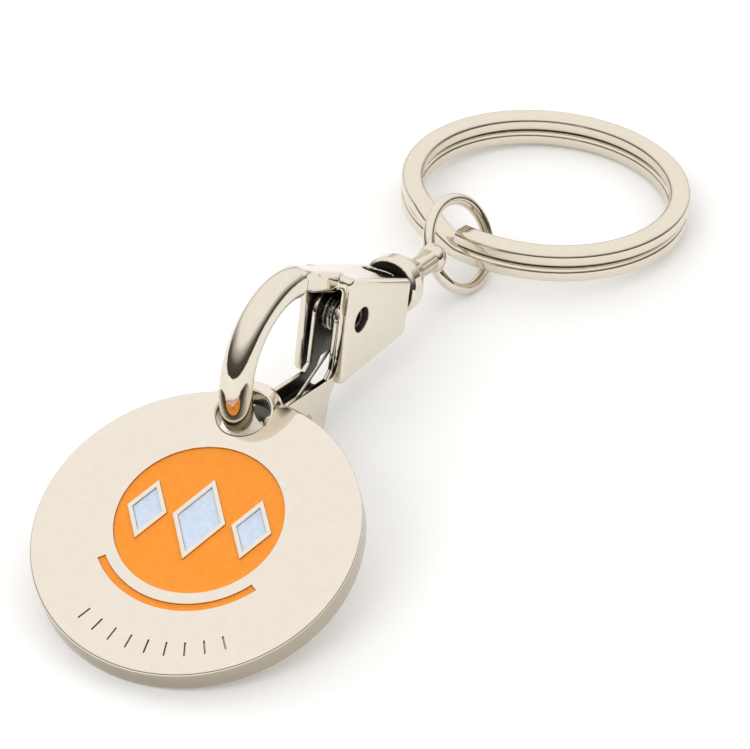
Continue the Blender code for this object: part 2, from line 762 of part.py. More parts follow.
def make_swivel(builder, hook, nickel):
    at_eye = Matrix.Translation((EYE_DISTANCE, 0.0, 0.0))
    pivot = builder.empty("swivel_pivot", at_eye, hook)
    back = at_eye.inverted()

    def moved(mesh):
        mesh.transform(back)
        return mesh

    mesh = moved(turned_mesh("swivel_eye", shank_profile(), ALONG_X))
    swivel = builder.piece("swivel_eye", mesh, pivot, Matrix.Identity(4), nickel)
    loop_place = eye_matrix()
    ring = circle(EYE_RADIUS, 0.0, 0.0, EYE_SIDES)
    loop = [loop_place @ Vector((p.x, 0.0, p.y)) for p in ring]
    root = loop_place @ Vector((-EYE_RADIUS, 0.0, 0.0))
    neck = [Vector((body_end_x() + SWIVEL_GAP + COLLAR_LENGTH, 0.0, 0.0)), root]
    round_off = [polar(EYE_ROOT_RADIUS, 90.0 - 180.0 * i / BALL_SIDES) for i in range(BALL_SIDES + 1)]
    ball_profile = [(max(p.x, 0.0), p.y) for p in round_off]
    ball = turned_mesh("root", ball_profile, Matrix.Translation(root), BALL_SIDES)
    builder.join(swivel, moved(tube_mesh("neck", neck, NECK_RADIUS, BAR_RESOLUTION)))
    builder.join(swivel, moved(ball))
    builder.join(swivel, moved(tube_mesh("loop", loop, EYE_WIRE_RADIUS, WIRE_RESOLUTION, True)))


def ring_points():
    """The wire's middle line: from its upper end twice round, sinking a layer on the way."""
    mean = RING_OUTER_RADIUS - RING_WIRE_WIDTH / 2
    layer = RING_WIRE_HEIGHT + RING_LAYER_GAP
    total_deg = 720.0 - RING_RAMP_DEG - RING_END_GAP_DEG
    steps = math.ceil(RING_STEPS_PER_TURN * total_deg / 360.0)
    points = []
    for i in range(steps + 1):
        gone = total_deg * i / steps
        sunk = min(max((gone - 360.0 + RING_RAMP_DEG) / RING_RAMP_DEG, 0.0), 1.0)
        eased = sunk * sunk * (3 - 2 * sunk)
        place = polar(mean, RING_END_DEG + gone)
        points.append(Vector((place.x, place.y, layer * (0.5 - eased))))
    return points


def ring_mesh():
    """The flat wire: an eight-sided outline swept along its middle line."""
    half_width = RING_WIRE_WIDTH / 2
    half_height = RING_WIRE_HEIGHT / 2
    chamfer = RING_WIRE_CHAMFER
    quarter = [
        (half_width - chamfer, half_height),
        (half_width, half_height - chamfer),
    ]
    section = quarter + [(r, -h) for r, h in reversed(quarter)]
    section += [(-r, -h) for r, h in section]
    mesh = bpy.data.meshes.new("split_ring")
    work = bmesh.new()
    loops = []
    for point in ring_points():
        out = Vector((point.x, point.y, 0.0)).normalized()
        loops.append([
            work.verts.new(point + out * r + Vector((0.0, 0.0, h))) for r, h in section
        ])
    for near, far in zip(loops, loops[1:]):
        for k in range(len(section)):
            m = (k + 1) % len(section)
            work.faces.new((near[k], near[m], far[m], far[k]))
    work.faces.new(loops[0])
    work.faces.new(loops[-1])
    bmesh.ops.recalc_face_normals(work, faces=work.faces)
    work.to_mesh(mesh)
    work.free()
    return mesh


def make_ring(builder, steel):
    """The ring hangs in the eye and its far side rests on the floor."""
    eye = eye_centre()
    pivot = builder.empty("ring_pivot", Matrix.Translation(eye), builder.root)
    wire = Vector((RING_EYE_OFFSET, 0.0, -RING_EYE_DROP))
    mean = RING_OUTER_RADIUS - RING_WIRE_WIDTH / 2
    half_stack = RING_WIRE_HEIGHT + RING_LAYER_GAP / 2
    reach = mean + RING_OUTER_RADIUS
    tilt = rest_angle(reach, half_stack, (eye + wire).z)
    turn = Matrix.Rotation(math.radians(RING_YAW_DEG), 4, "Z") @ Matrix.Rotation(tilt, 4, "Y")
    place = Matrix.Translation(wire + turn @ Vector((mean, 0.0, 0.0))) @ turn
    builder.piece("split_ring", ring_mesh(), pivot, place, steel)


def stand_on_origin(builder):
    """Moves the whole keyring so that the middle of its underside is the origin."""
    bpy.context.view_layer.update()
    graph = bpy.context.evaluated_depsgraph_get()
    corners = []
    for piece in builder.parts.objects:
        if piece.type == "MESH":
            evaluated = piece.evaluated_get(graph)
            mesh = evaluated.to_mesh()
            corners += [piece.matrix_world @ v.co for v in mesh.vertices]
            evaluated.to_mesh_clear()
    low = Vector([min(c[i] for c in corners) for i in range(3)])
    high = Vector([max(c[i] for c in corners) for i in range(3)])
    middle = (low + high) / 2
    builder.root.location = (-middle.x, -middle.y, -low.z)
    bpy.context.view_layer.update()
    size = high - low
    print("size", [round(v, 5) for v in size])
    print("moved by", [round(v, 6) for v in builder.root.location])


def print_joints():
    for empty in bpy.data.objects:
        if empty.type == "EMPTY":
            place = [round(v, 6) for v in empty.matrix_world.translation]
            print("axis of", empty.name, place)


def main():
    clear_scene()
    builder = Builder()
    nickel = principled("polished_nickel", (0.78, 0.75, 0.70), 0.12, 1.0)
    steel = principled("plated_steel", (0.74, 0.72, 0.68), 0.18, 1.0)
    orange = principled("orange_enamel", (1.0, 0.33, 0.05), 0.25, 0.0)
    pale = principled("pale_enamel", (0.64, 0.75, 0.91), 0.25, 0.0)
    hook = builder.empty("hook_frame", hook_matrix(), builder.root)
    make_coin(builder, nickel, orange, pale)
    make_hook(builder, hook, nickel)
    make_gate_rivet(builder, hook, nickel)
    make_gate(builder, hook, nickel)
    make_spring(builder, hook, steel)
    make_swivel(builder, hook, nickel)
    make_ring(builder, steel)
    stand_on_origin(builder)
    print_joints()


main()
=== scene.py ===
"""Fine surfaces and finishes of a coin holder keyring, built round its fixed frame.

Lengths are in metres, in the frame's own axes. The hook's own frame has its origin at the
loop's centre, X along the swivel's axis and Z towards the arm. The coin's own frame has its
origin in the disc's middle, Y towards the ear and Z out of the enamelled face.
"""

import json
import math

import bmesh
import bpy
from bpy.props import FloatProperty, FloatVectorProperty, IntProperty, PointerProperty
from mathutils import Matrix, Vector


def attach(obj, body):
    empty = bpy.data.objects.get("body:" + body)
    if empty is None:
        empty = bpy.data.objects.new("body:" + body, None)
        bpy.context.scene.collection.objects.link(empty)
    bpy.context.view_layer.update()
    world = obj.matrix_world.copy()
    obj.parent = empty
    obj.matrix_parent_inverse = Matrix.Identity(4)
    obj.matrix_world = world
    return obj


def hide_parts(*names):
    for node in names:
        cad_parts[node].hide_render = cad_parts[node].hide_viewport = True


bl_info = {
    "name": "Coin Keyring Surfaces",
    "version": (1, 0, 0),
    "blender": (4, 5, 0),
    "location": "3D View > Sidebar > Keyring",
    "description": "Builds the fine surfaces, finishes and studio of a coin holder keyring",
    "category": "Add Mesh",
}

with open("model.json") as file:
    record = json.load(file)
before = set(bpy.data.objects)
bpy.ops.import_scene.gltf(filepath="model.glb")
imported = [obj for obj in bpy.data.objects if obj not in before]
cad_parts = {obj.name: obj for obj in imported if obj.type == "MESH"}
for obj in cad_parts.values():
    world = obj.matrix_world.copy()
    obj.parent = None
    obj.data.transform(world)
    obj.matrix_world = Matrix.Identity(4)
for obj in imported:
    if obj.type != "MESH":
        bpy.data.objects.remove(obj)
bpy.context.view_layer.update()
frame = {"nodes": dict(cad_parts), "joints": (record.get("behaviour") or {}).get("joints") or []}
JOINTS = {joint["name"]: joint for joint in frame["joints"]}

# Points nearer than MERGE are one point, and cutters reach OVERRUN past what they cut
MERGE = 0.000002
OVERRUN = 0.0004
X_AXIS = Vector((1.0, 0.0, 0.0))
Y_AXIS = Vector((0.0, 1.0, 0.0))
Z_AXIS = Vector((0.0, 0.0, 1.0))

# Edges that turn by more than this are shaded as sharp
SMOOTH_DEG = 32.0

# Vertex mask that is 1 where the plating is rougher and darkened with painted shade
ROUGH_SHADE_MASK = "inside"

# The part of a unit direction that counts as level, and as mostly along an axis
LEVEL = 0.999
MOSTLY = 0.9

# Angles of one step in a drawn arc
ARC_STEP = math.radians(2.0)
COARSE_ARC_STEP = math.radians(6.0)

# Segments and steps of the round shapes
FIELD_SEGMENTS = 160
HOLE_SEGMENTS = 96
BAR_SEGMENTS = 64
ARM_SEGMENTS = 48
ARM_STEPS = 120
ROOT_STEPS = 14
RIVET_STEPS = 72
SWIVEL_STEPS = 96
EYE_WIRE_SEGMENTS = 28
EYE_STEPS = 144
BALL_SEGMENTS = 40
BALL_RINGS = 24

# Segments of the rounded edges and corners
EDGE_SEGMENTS = 4
LIP_SEGMENTS = 2
CORNER_SEGMENTS = 6
ROOT_CORNER_SEGMENTS = 3
WIRE_CORNER_SEGMENTS = 6

# How much longer than the lip's angle the root is, so that it ends inside the round bar
ROOT_OVERLAP = 1.1


# Properties that a user would change


def length(name, description, default):
    return FloatProperty(
        name=name, description=description, default=default, unit="LENGTH", precision=5
    )


def angle(name, description, degrees):
    return FloatProperty(
        name=name, description=description, default=math.radians(degrees), subtype="ANGLE"
    )


def share(name, description, default):
    return FloatProperty(name=name, description=description, default=default, subtype="FACTOR")


def count(name, description, default):
    return IntProperty(name=name, description=description, default=default, min=1)


def colour(name, description, default):
    return FloatVectorProperty(
        name=name,
        description=description,
        default=default,
        size=3,
        subtype="COLOR",
        min=0.0,
        max=1.0,
    )


class CoinSizes(bpy.types.PropertyGroup):
    radius: length("Radius", "Radius of the disc", 0.0120)
    thickness: length("Thickness", "Thickness of the disc", 0.0020)
    edge: length("Edge", "Rounding of the outer edges", 0.00022)
    ear_inset: length("Ear inset", "How far the ear's centre is inside the disc's edge", 0.0017)
    ear_radius: length("Ear radius", "Radius of the ear", 0.00295)
    fillet: length("Fillet", "Radius of the fillets between ear and disc", 0.0010)
    hole_radius: length("Hole radius", "Radius of the hole in the ear", 0.0020)
    pocket_depth: length("Pocket depth", "Depth of the enamel's pockets", 0.00045)
    pocket_edge: length("Pocket edge", "Rounding of the pockets' upper edges", 0.00008)
    field_rise: length("Field rise", "How far the round field is above the disc's middle", 0.0008)
    field_radius: length("Field radius", "Radius of the round enamel field", 0.0062)
    border: length("Border", "Metal border round each diamond", 0.00032)
    middle_width: length("Middle width", "Half width of the middle diamond", 0.00165)
    middle_height: length("Middle height", "Half height of the middle diamond", 0.0028)
    side_width: length("Side width", "Half width of the side diamonds", 0.001147)
    side_height: length("Side height", "Half height of the side diamonds", 0.001897)
    spacing: length("Spacing", "Distance between the diamonds' middles", 0.0040)
    bar_gap: length("Bow gap", "Metal between the field and the bow below it", 0.00085)
    bar_width: length("Bow width", "Width of the bow", 0.0006)
    bar_half_sweep: angle("Bow sweep", "Half of the bow's sweep", 52.0)
    ticks: count("Cuts", "Number of short cuts near the lower rim", 9)
    tick_half_sweep: angle("Cut sweep", "Half of the angle that the cuts take", 32.0)
    tick_length: length("Cut length", "Length of each cut", 0.0011)
    tick_width: length("Cut width", "Width of each cut", 0.00032)
    tick_depth: length("Cut depth", "Depth of each cut", 0.0002)
    tick_taper: share("Cut taper", "Width of a cut's floor beside its top", 0.15)
    tick_rim_gap: length("Cut gap", "Distance from the cuts' outer ends to the rim", 0.0015)
    enamel_gap: length("Enamel gap", "Gap between enamel and metal", 0.00002)
    enamel_floor_gap: length("Floor gap", "Gap under the enamel", 0.00006)
    enamel_thickness: length("Enamel thickness", "Thickness of the enamel", 0.00025)
    meniscus_width: length("Meniscus width", "Width of the enamel's raised edge", 0.00016)
    meniscus_drop: length("Meniscus drop", "How far the enamel's middle lies lower", 0.00004)


class HookSizes(bpy.types.PropertyGroup):
    arm_radius: length("Arm radius", "Radius of the arm's bar", 0.00118)
    arc_radius: length("Arc radius", "Radius of the arm's arc", 0.00582)
    arc_x: length("Arc X", "Arc's centre along the hook", -0.00103)
    arc_z: length("Arc Z", "Arc's centre above the swivel's axis", -0.00013)
    arm_root: angle("Arm root", "Where the arm's arc starts at the body", 62.0)
    arm_sweep: angle("Arm sweep", "Angle from the arm's root to its tip", 174.0)
    lip_sweep: angle("Lip", "Angle from the arm's root to the lip where the round bar starts", 18.0)
    lip_step: length("Lip step", "How far the round bar stands proud at the lip", 0.00006)
    root_half_width: length("Root half width", "Half width of the arm's flat-sided root", 0.00108)
    root_inner: length("Root inner", "Root's inner side from the bar's middle line", 0.0006)
    root_outer: length("Root outer", "Root's outer side from the bar's middle line", 0.00108)
    root_edge: length("Root edge", "Rounding of the root's long edges", 0.00042)
    root_run: length("Root run", "Straight run of the arm along the body's top", 0.0038)
    half_width: length("Half width", "Half of the body's width", 0.0022)
    front_x: length("Front", "Body's front end along the hook", 0.0048)
    body_length: length("Length", "Length of the body", 0.0102)
    front_top: length("Front top", "Body's height at its front", 0.0049)
    waist_x: length("Waist X", "Waist of the body's front along the hook", 0.0050)
    waist_z: length("Waist Z", "Height of the waist", 0.0005)
    foot_x: length("Foot X", "Body's foot along the hook", 0.0051)
    foot_z: length("Foot Z", "Height of the body's foot", -0.0043)
    end_top: length("End top", "Body's height at the swivel", 0.0015)
    end_bottom: length("End bottom", "Body's lower side at the swivel", -0.0032)
    corner: length("Corner", "Rounding of the body's outline", 0.0007)
    edge: length("Edge", "Rounding of the body's long edges", 0.0006)
    cavity_half_width: length("Cavity", "Half of the gap between the cheeks", 0.0014)
    cavity_depth: length("Cavity depth", "Depth of the gap between the cheeks", 0.0062)
    top_wall: length("Top wall", "Wall above the gap", 0.00115)
    window: length("Window", "Width of the round window in the sloping top", 0.0025)
    window_depth: length("Window depth", "Depth of the window at its shallow end", 0.0009)
    window_end: length("Window end", "Metal between the window and the swivel", 0.00055)
    rivet_x: length("Rivet X", "Rivet along the hook", 0.0073)
    rivet_z: length("Rivet Z", "Rivet's height", 0.0007)
    rivet_radius: length("Rivet radius", "Radius of the rivet", 0.00095)
    rivet_sunk: length("Rivet sunk", "How far the rivet's ends lie below the cheeks", 0.0004)
    rivet_edge: length("Rivet edge", "Rounding of the rivet's ends", 0.00024)
    rivet_bore: length("Rivet bore", "Radius of the small bore in the rivet", 0.0005)
    rivet_bore_depth: length("Rivet bore depth", "Depth of the small bore in the rivet", 0.0006)
    running_gap: length("Running gap", "Gap between a pin and its bore", 0.00006)
    skin: length("Skin", "Grid of the cast skin", 0.00009)
    soft_passes: count("Softness", "Smoothing passes on the cast skin", 7)


class GateSizes(bpy.types.PropertyGroup):
    half_width: length("Half width", "Half of the gate's width", 0.0012)
    wall: length("Wall", "Side walls of the gate", 0.00045)
    floor: length("Floor", "Thickness of the gate's floor", 0.0008)
    edge: length("Edge", "Rounding of the gate's edges", 0.00025)
    hub_radius: length("Hub radius", "Radius of the hub round the rivet", 0.0019)
    hub_start: angle("Hub start", "Where the hub's arc starts", -15.0)
    top_z: length("Top", "Height of the gate's upper side", -0.0039)
    bottom_z: length("Bottom", "Height of the gate's lower side", -0.0059)
    nose_gap: length("Nose gap", "Gap between the arm's tip and the gate", 0.0002)
    nose_drop: length("Nose drop", "How fast the nose falls to the lower side", 0.0008)
    neck: length("Neck", "Rounding where the finger meets hub and lug", 0.0006)
    lug_x: length("Lug X", "Thumb lug along the hook", 0.0042)
    lug_z: length("Lug Z", "Centre of the lug's round end above the swivel's axis", -0.0081)
    lug_radius: length("Lug radius", "Radius of the lug's round end", 0.0011)
    heel: length("Heel", "Step behind the lug", 0.0002)
    skin: length("Skin", "Grid of the cast skin", 0.00007)
    soft_passes: count("Softness", "Smoothing passes on the cast skin", 4)


class SwivelSizes(bpy.types.PropertyGroup):
    gap: length("Gap", "Gap between the body and the collar", 0.00015)
    collar_radius: length("Collar radius", "Radius of the collar", 0.00245)
    collar_length: length("Collar length", "Length of the collar", 0.0014)
    chamfer: length("Chamfer", "Chamfer of the collar", 0.0003)
    cone_length: length("Cone length", "Length of the cone", 0.00285)
    cone_end: length("Cone end", "Radius of the cone's thin end", 0.0010)
    neck_radius: length("Neck radius", "Radius of the neck", 0.00095)
    eye_distance: length("Eye distance", "Eye's centre from the hook loop's centre", 0.0270)
    eye_radius: length("Eye radius", "Radius of the eye's middle line", 0.0037)
    wire_radius: length("Eye wire", "Radius of the eye's wire", 0.0005)
    root_radius: length("Root radius", "Radius of the ball where neck and eye meet", 0.0012)
    eye_turn: angle("Eye turn", "Turn of the eye about the swivel's axis", 27.0)
    eye_lean: angle("Eye lean", "Lean of the eye off the swivel's axis", 9.0)
    shank_radius: length("Shank radius", "Radius of the shank in the body", 0.0008)
    head_radius: length("Head radius", "Radius of the shank's head", 0.0013)
    head_thickness: length("Head thickness", "Thickness of the shank's head", 0.0007)
    skin: length("Skin", "Grid of the cast skin", 0.00007)
    soft_passes: count("Softness", "Smoothing passes on the cast skin", 3)


class RingSizes(bpy.types.PropertyGroup):
    radius: length("Radius", "Outer radius of the split ring", 0.0123)
    wire_width: length("Wire width", "Width of the flat wire", 0.00185)
    wire_height: length("Wire height", "Height of the flat wire", 0.00135)
    rounding: length("Rounding", "Rounding of the wire's corners", 0.0005)
    layer_gap: length("Layer gap", "Gap between the two turns", 0.00010)
    eye_offset: length("Eye offset", "Wire's middle off the eye's centre along the ring", 0.0009)
    eye_drop: length("Eye drop", "Wire's middle below the eye's centre", 0.0005)
    yaw: angle("Yaw", "Heading of the ring", -8.0)
    tilt: angle("Tilt", "Slope of the ring down to the floor", 4.552)
    end: angle("End", "Where the upper end of the wire lies", 178.0)
    ramp: angle("Ramp", "Angle in which the wire changes its layer", 26.0)
    end_gap: angle("End gap", "Gap between the wire's ends and the ramp", 2.0)
    steps: count("Steps", "Sections in one turn", 180)


class Finishes(bpy.types.PropertyGroup):
    coin_metal: colour("Coin metal", "Colour of the coin's plating", (0.80, 0.735, 0.645))
    # The rim and the hole's wall get this dark colour as painted shade; the milled rim is also
    # rougher
    coin_rim_painted_shade: colour("Coin rim", "Colour of the coin's milled rim and hole", (0.39, 0.345, 0.265))
    cast_metal: colour("Cast metal", "Colour of the hook's plating", (0.755, 0.70, 0.60))
    wire_metal: colour("Wire metal", "Colour of the split ring's plating", (0.75, 0.69, 0.58))
    orange: colour("Orange enamel", "Colour of the round field", (1.0, 0.315, 0.016))
    pale: colour("Pale enamel", "Colour of the diamonds", (0.64, 0.75, 0.91))
    coin_roughness: share("Coin roughness", "Roughness of the coin's face", 0.035)
    cast_roughness: share("Cast roughness", "Roughness of the hook's plating", 0.07)
    wire_roughness: share("Wire roughness", "Roughness of the ring's plating", 0.12)
    enamel_roughness: share("Enamel roughness", "Roughness of the enamel", 0.22)


class StudioSizes(bpy.types.PropertyGroup):
    camera_x: length("Camera X", "Camera's place along X", -0.150305)
    camera_y: length("Camera Y", "Camera's place along Y", -0.088493)
    camera_z: length("Camera Z", "Camera's height", 0.13526)
    camera_heading: angle("Heading", "Direction the camera looks in, from +X towards +Y", 30.8)
    camera_down: angle("Down", "How far the camera looks down", 37.65)
    focal: FloatProperty(name="Focal length", description="Lens in millimetres", default=134.4)
    floor_half: length("Floor", "Half of the floor's width", 1.2)


class KeyringSettings(bpy.types.PropertyGroup):
    coin: PointerProperty(type=CoinSizes)
    hook: PointerProperty(type=HookSizes)
    gate: PointerProperty(type=GateSizes)
    swivel: PointerProperty(type=SwivelSizes)
    ring: PointerProperty(type=RingSizes)
    finish: PointerProperty(type=Finishes)
    studio: PointerProperty(type=StudioSizes)


def settings():
    return bpy.context.scene.coin_keyring


# Shader maths


class Socket:
    """A shader value that takes part in Python sums: each sum adds a Math node."""

    def __init__(self, nodes, socket):
        self.nodes = nodes
        self.socket = socket

    def maths(self, operation, first, second):
        return self.nodes.add("ShaderNodeMath", {"operation": operation}, {0: first, 1: second})

    def __add__(self, other):
        return self.maths("ADD", self, other)

    def __radd__(self, other):
        return self.maths("ADD", other, self)

    def __sub__(self, other):
        return self.maths("SUBTRACT", self, other)

    def __rsub__(self, other):
        return self.maths("SUBTRACT", other, self)

    def __mul__(self, other):
        return self.maths("MULTIPLY", self, other)

    def __rmul__(self, other):
        return self.maths("MULTIPLY", other, self)


class Nodes:
    """One node tree, and the one method that adds its nodes."""

    def __init__(self, tree):
        self.tree = tree

    def add(self, kind, choices=None, inputs=None, output=0):
        made = self.tree.nodes.new(kind)
        for key, value in (choices or {}).items():
            if key == "stops":
                self.set_stops(made.color_ramp, value)
            else:
                setattr(made, key, value)
        for key, value in (inputs or {}).items():
            self.feed(made.inputs[key], value)
        return Socket(self, made.outputs[output])

    def feed(self, socket, value):
        if isinstance(value, Socket):
            self.tree.links.new(value.socket, socket)
        else:
            socket.default_value = value

    def set_stops(self, ramp, stops):
        """Places and grey levels of a ramp; it starts with two stops."""
        while len(ramp.elements) < len(stops):
            ramp.elements.new(1.0)
        for element, (place, level) in zip(ramp.elements, stops):
            element.position = place
            element.color = (level, level, level, 1.0)

    def band(self, value, low, high):
        """0 below low, 1 above high, with a smooth step between."""
        return self.add(
            "ShaderNodeMapRange",
            {"interpolation_type": "SMOOTHSTEP"},
            {"Value": value, "From Min": low, "From Max": high},
        )

    def noise(self, place, scale, detail, roughness=0.5):
        return self.add(
            "ShaderNodeTexNoise",
            {},
            {"Vector": place, "Scale": scale, "Detail": detail, "Roughness": roughness},
            "Fac",
        )

    def mixed(self, factor, first, second):
        """The first colour where factor is 0, the second where it is 1."""
        sides = [side if isinstance(side, Socket) else (*side, 1.0) for side in (first, second)]
        return self.add(
            "ShaderNodeMix", {"data_type": "RGBA"}, {0: factor, 6: sides[0], 7: sides[1]}, 2
        )

    def bump(self, height):
        """The normal of a surface raised by height in metres."""
        return self.add(
            "ShaderNodeBump", {}, {"Strength": 1.0, "Distance": 1.0, "Height": height}, "Normal"
        )


def shaded(tint, level):
    """A colour made lighter or darker."""
    return [min(1.0, part * level) for part in tint]


def new_finish(name):
    material = bpy.data.materials.new(name)
    material.use_nodes = True
    nodes = Nodes(material.node_tree)
    return material, nodes, material.node_tree.nodes["Principled BSDF"].inputs


def mapped(nodes, place, turn, stretch):
    """Object coordinates turned into a piece's own frame and stretched for grain."""
    return nodes.add(
        "ShaderNodeMapping",
        {"vector_type": "POINT"},
        {"Vector": place, "Rotation": turn, "Scale": stretch},
    )


# Average of a noise, which is taken off so that it makes a value neither higher nor lower
MEAN = 0.5

# Plating: scales of its noises, their share in its uneven gloss, and its light and dark clouds
RIPPLE_SCALE = 420.0
CLOUD_SCALE = 1300.0
SPECK_SCALE = 9000.0
CLOUD_UNEVEN = 0.9
GRAIN_UNEVEN = 0.7
SPECK_UNEVEN = 0.4
SPECK_HEIGHT = 0.3
CLOUD_DARK = 0.95
CLOUD_LIGHT = 1.04


def metal(name, tint, roughness, ripple, grain_turn, grain_stretch, grain):
    """Plated metal: a slow ripple from casting, a fine polishing grain and faint cloudiness."""
    material, nodes, sockets = new_finish(name)
    place = nodes.add("ShaderNodeTexCoord", {}, {}, "Object")
    slow = nodes.noise(place, RIPPLE_SCALE, 2.0)
    cloud = nodes.noise(place, CLOUD_SCALE, 4.0, 0.6)
    lines = nodes.noise(mapped(nodes, place, grain_turn, grain_stretch), 1.0, 5.0, 0.65)
    specks = nodes.noise(place, SPECK_SCALE, 2.0, 0.7)
    tints = nodes.mixed(cloud, shaded(tint, CLOUD_DARK), shaded(tint, CLOUD_LIGHT))
    nodes.feed(sockets["Base Color"], tints)
    nodes.feed(sockets["Metallic"], 1.0)
    uneven = (cloud - MEAN) * CLOUD_UNEVEN + (lines - MEAN) * GRAIN_UNEVEN
    uneven += (specks - MEAN) * SPECK_UNEVEN
    nodes.feed(sockets["Roughness"], uneven * roughness + roughness)
    height = slow * ripple + lines * grain + specks * (grain * SPECK_HEIGHT)
    nodes.feed(sockets["Normal"], nodes.bump(height))
    return material


# Enamel: scales and heights of its swells, mottling and pits, and its gloss
SWELL_SCALE = 700.0
MOTTLE_SCALE = 2600.0
PIT_SCALE = 900.0
SWELL_HEIGHT = 0.000012
MOTTLE_HEIGHT = 0.0000016
PIT_HEIGHT = 0.0000010
PIT_EDGE = 0.08
DUST_LOW = 0.35
DUST_HIGH = 0.75
ENAMEL_DARK = 0.94
ENAMEL_LIGHT = 1.05
ENAMEL_UNEVEN = 0.12
COAT = 0.12
COAT_UNEVEN = 0.2
COAT_ROUGHNESS = 0.06
ENAMEL_SPECULAR = 0.3


def enamel(name, tint, roughness):
    """Poured enamel: a soft gloss with slow swells, a few pits and faint mottling."""
    material, nodes, sockets = new_finish(name)
    place = nodes.add("ShaderNodeTexCoord", {}, {}, "Object")
    swell = nodes.noise(place, SWELL_SCALE, 2.0)
    mottle = nodes.noise(place, MOTTLE_SCALE, 4.0, 0.6)
    pits = nodes.add(
        "ShaderNodeTexVoronoi",
        {"feature": "DISTANCE_TO_EDGE"},
        {"Vector": place, "Scale": PIT_SCALE},
        "Distance",
    )
    dust = nodes.band(mottle, DUST_LOW, DUST_HIGH)
    tints = nodes.mixed(dust, shaded(tint, ENAMEL_DARK), shaded(tint, ENAMEL_LIGHT))
    nodes.feed(sockets["Base Color"], tints)
    nodes.feed(sockets["Roughness"], (mottle - MEAN) * ENAMEL_UNEVEN + roughness)
    nodes.feed(sockets["Coat Weight"], (swell - MEAN) * COAT_UNEVEN + COAT)
    sockets["Specular IOR Level"].default_value = ENAMEL_SPECULAR
    sockets["Coat Roughness"].default_value = COAT_ROUGHNESS
    height = swell * SWELL_HEIGHT + mottle * MOTTLE_HEIGHT
    height += nodes.band(pits, 0.0, PIT_EDGE) * PIT_HEIGHT
    nodes.feed(sockets["Normal"], nodes.bump(height))
    return material


# Dark tints of painted shade on the unpolished metal in hollows and on the collar's hidden face,
# where shade falls, and how much rougher the metal is there and on the coin's rim
HOLLOW_PAINTED_SHADE = (0.10, 0.09, 0.08)
COLLAR_PAINTED_SHADE = (0.03, 0.027, 0.024)
HOLLOW_ROUGHER = 0.38
RIM_ROUGHER = 0.16


def rough_with_painted_shade(material, tint=HOLLOW_PAINTED_SHADE, rougher=HOLLOW_ROUGHER):
    """Mixes in rougher, unpolished metal, darkened with painted shade, where the mesh's inside mask
    is 1.
    """
    nodes = Nodes(material.node_tree)
    sockets = material.node_tree.nodes["Principled BSDF"].inputs
    mask = nodes.add("ShaderNodeAttribute", {"attribute_name": ROUGH_SHADE_MASK}, {}, "Fac")
    polished = Socket(nodes, sockets["Base Color"].links[0].from_socket)
    nodes.feed(sockets["Base Color"], nodes.mixed(mask, polished, tint))
    rough = Socket(nodes, sockets["Roughness"].links[0].from_socket)
    nodes.feed(sockets["Roughness"], rough + mask * rougher)
    return material


# Mesh making


def to_work(mesh):
    work = bmesh.new()
    work.from_mesh(mesh)
    bpy.data.meshes.remove(mesh)
    return work


def linked(name, data):
    """A new object in the scene."""
    made = bpy.data.objects.new(name, data)
    bpy.context.scene.collection.objects.link(made)
    return made


def holder_of(work, name):
    mesh = bpy.data.meshes.new(name)
    work.to_mesh(mesh)
    work.free()
    return linked(name, mesh)


def evaluated_work(holder, others):
    """The evaluated shape of holder as a new bmesh; holder and the others are removed."""
    graph = bpy.context.evaluated_depsgraph_get()
    mesh = bpy.data.meshes.new_from_object(holder.evaluated_get(graph))
    for old in [holder, *others]:
        data = old.data
        bpy.data.objects.remove(old, do_unlink=True)
        bpy.data.meshes.remove(data)
    return to_work(mesh)


def combine(work, steps):
    """Joins or cuts work with other closed shapes, one after another."""
    holder = holder_of(work, "shape")
    tools = []
    for operation, shape in steps:
        tool = holder_of(shape, "tool")
        tools.append(tool)
        modifier = holder.modifiers.new("step", "BOOLEAN")
        modifier.operation = operation
        modifier.solver = "EXACT"
        modifier.object = tool
    return evaluated_work(holder, tools)


def cast_skin(work, grid, passes):
    """One closed skin over work, softened as a tumbled casting is."""
    holder = holder_of(work, "casting")
    remesh = holder.modifiers.new("skin", "REMESH")
    remesh.mode = "VOXEL"
    remesh.voxel_size = grid
    soften = holder.modifiers.new("soften", "SMOOTH")
    soften.factor = 0.5
    soften.iterations = passes
    return evaluated_work(holder, [])


def finish_piece(name, work, place, material, body, nodes):
    """The finished object: at the origin, with its place in its mesh, riding on its body."""
    mesh = bpy.data.meshes.new(name)
    bmesh.ops.recalc_face_normals(work, faces=work.faces)
    work.to_mesh(mesh)
    work.free()
    mesh.transform(place)
    mesh.shade_smooth()
    mesh.set_sharp_from_angle(angle=math.radians(SMOOTH_DEG))
    mesh.materials.append(material)
    piece = linked(name, mesh)
    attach(piece, body)
    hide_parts(*nodes)
    return piece


def mark_inside(work, hollow):
    """Writes the inside mask: 1 at points that hollow(point) says lie in a hollow."""
    layer = work.verts.layers.float.new(ROUGH_SHADE_MASK)
    for vert in work.verts:
        vert[layer] = 1.0 if hollow(vert.co) else 0.0
    for vert in list(work.verts):
        near = [e.other_vert(vert)[layer] for e in vert.link_edges]
        vert[layer] = (vert[layer] + sum(near) / len(near)) / 2


def flat_borders(work):
    """Edges between a level face and its rounding, so that the level face stays a flat mirror."""
    work.normal_update()
    work.edges.index_update()
    borders = []
    for edge in work.edges:
        level = [abs(face.normal.z) > 1.0 - MERGE for face in edge.link_faces]
        if True in level and False in level:
            borders.append(edge.index)
    return borders


def weighted(piece):
    """Keeps flat faces flat where rounded edges meet them."""
    weigh = piece.modifiers.new("flat_faces", "WEIGHTED_NORMAL")
    weigh.keep_sharp = True
    weigh.weight = 100


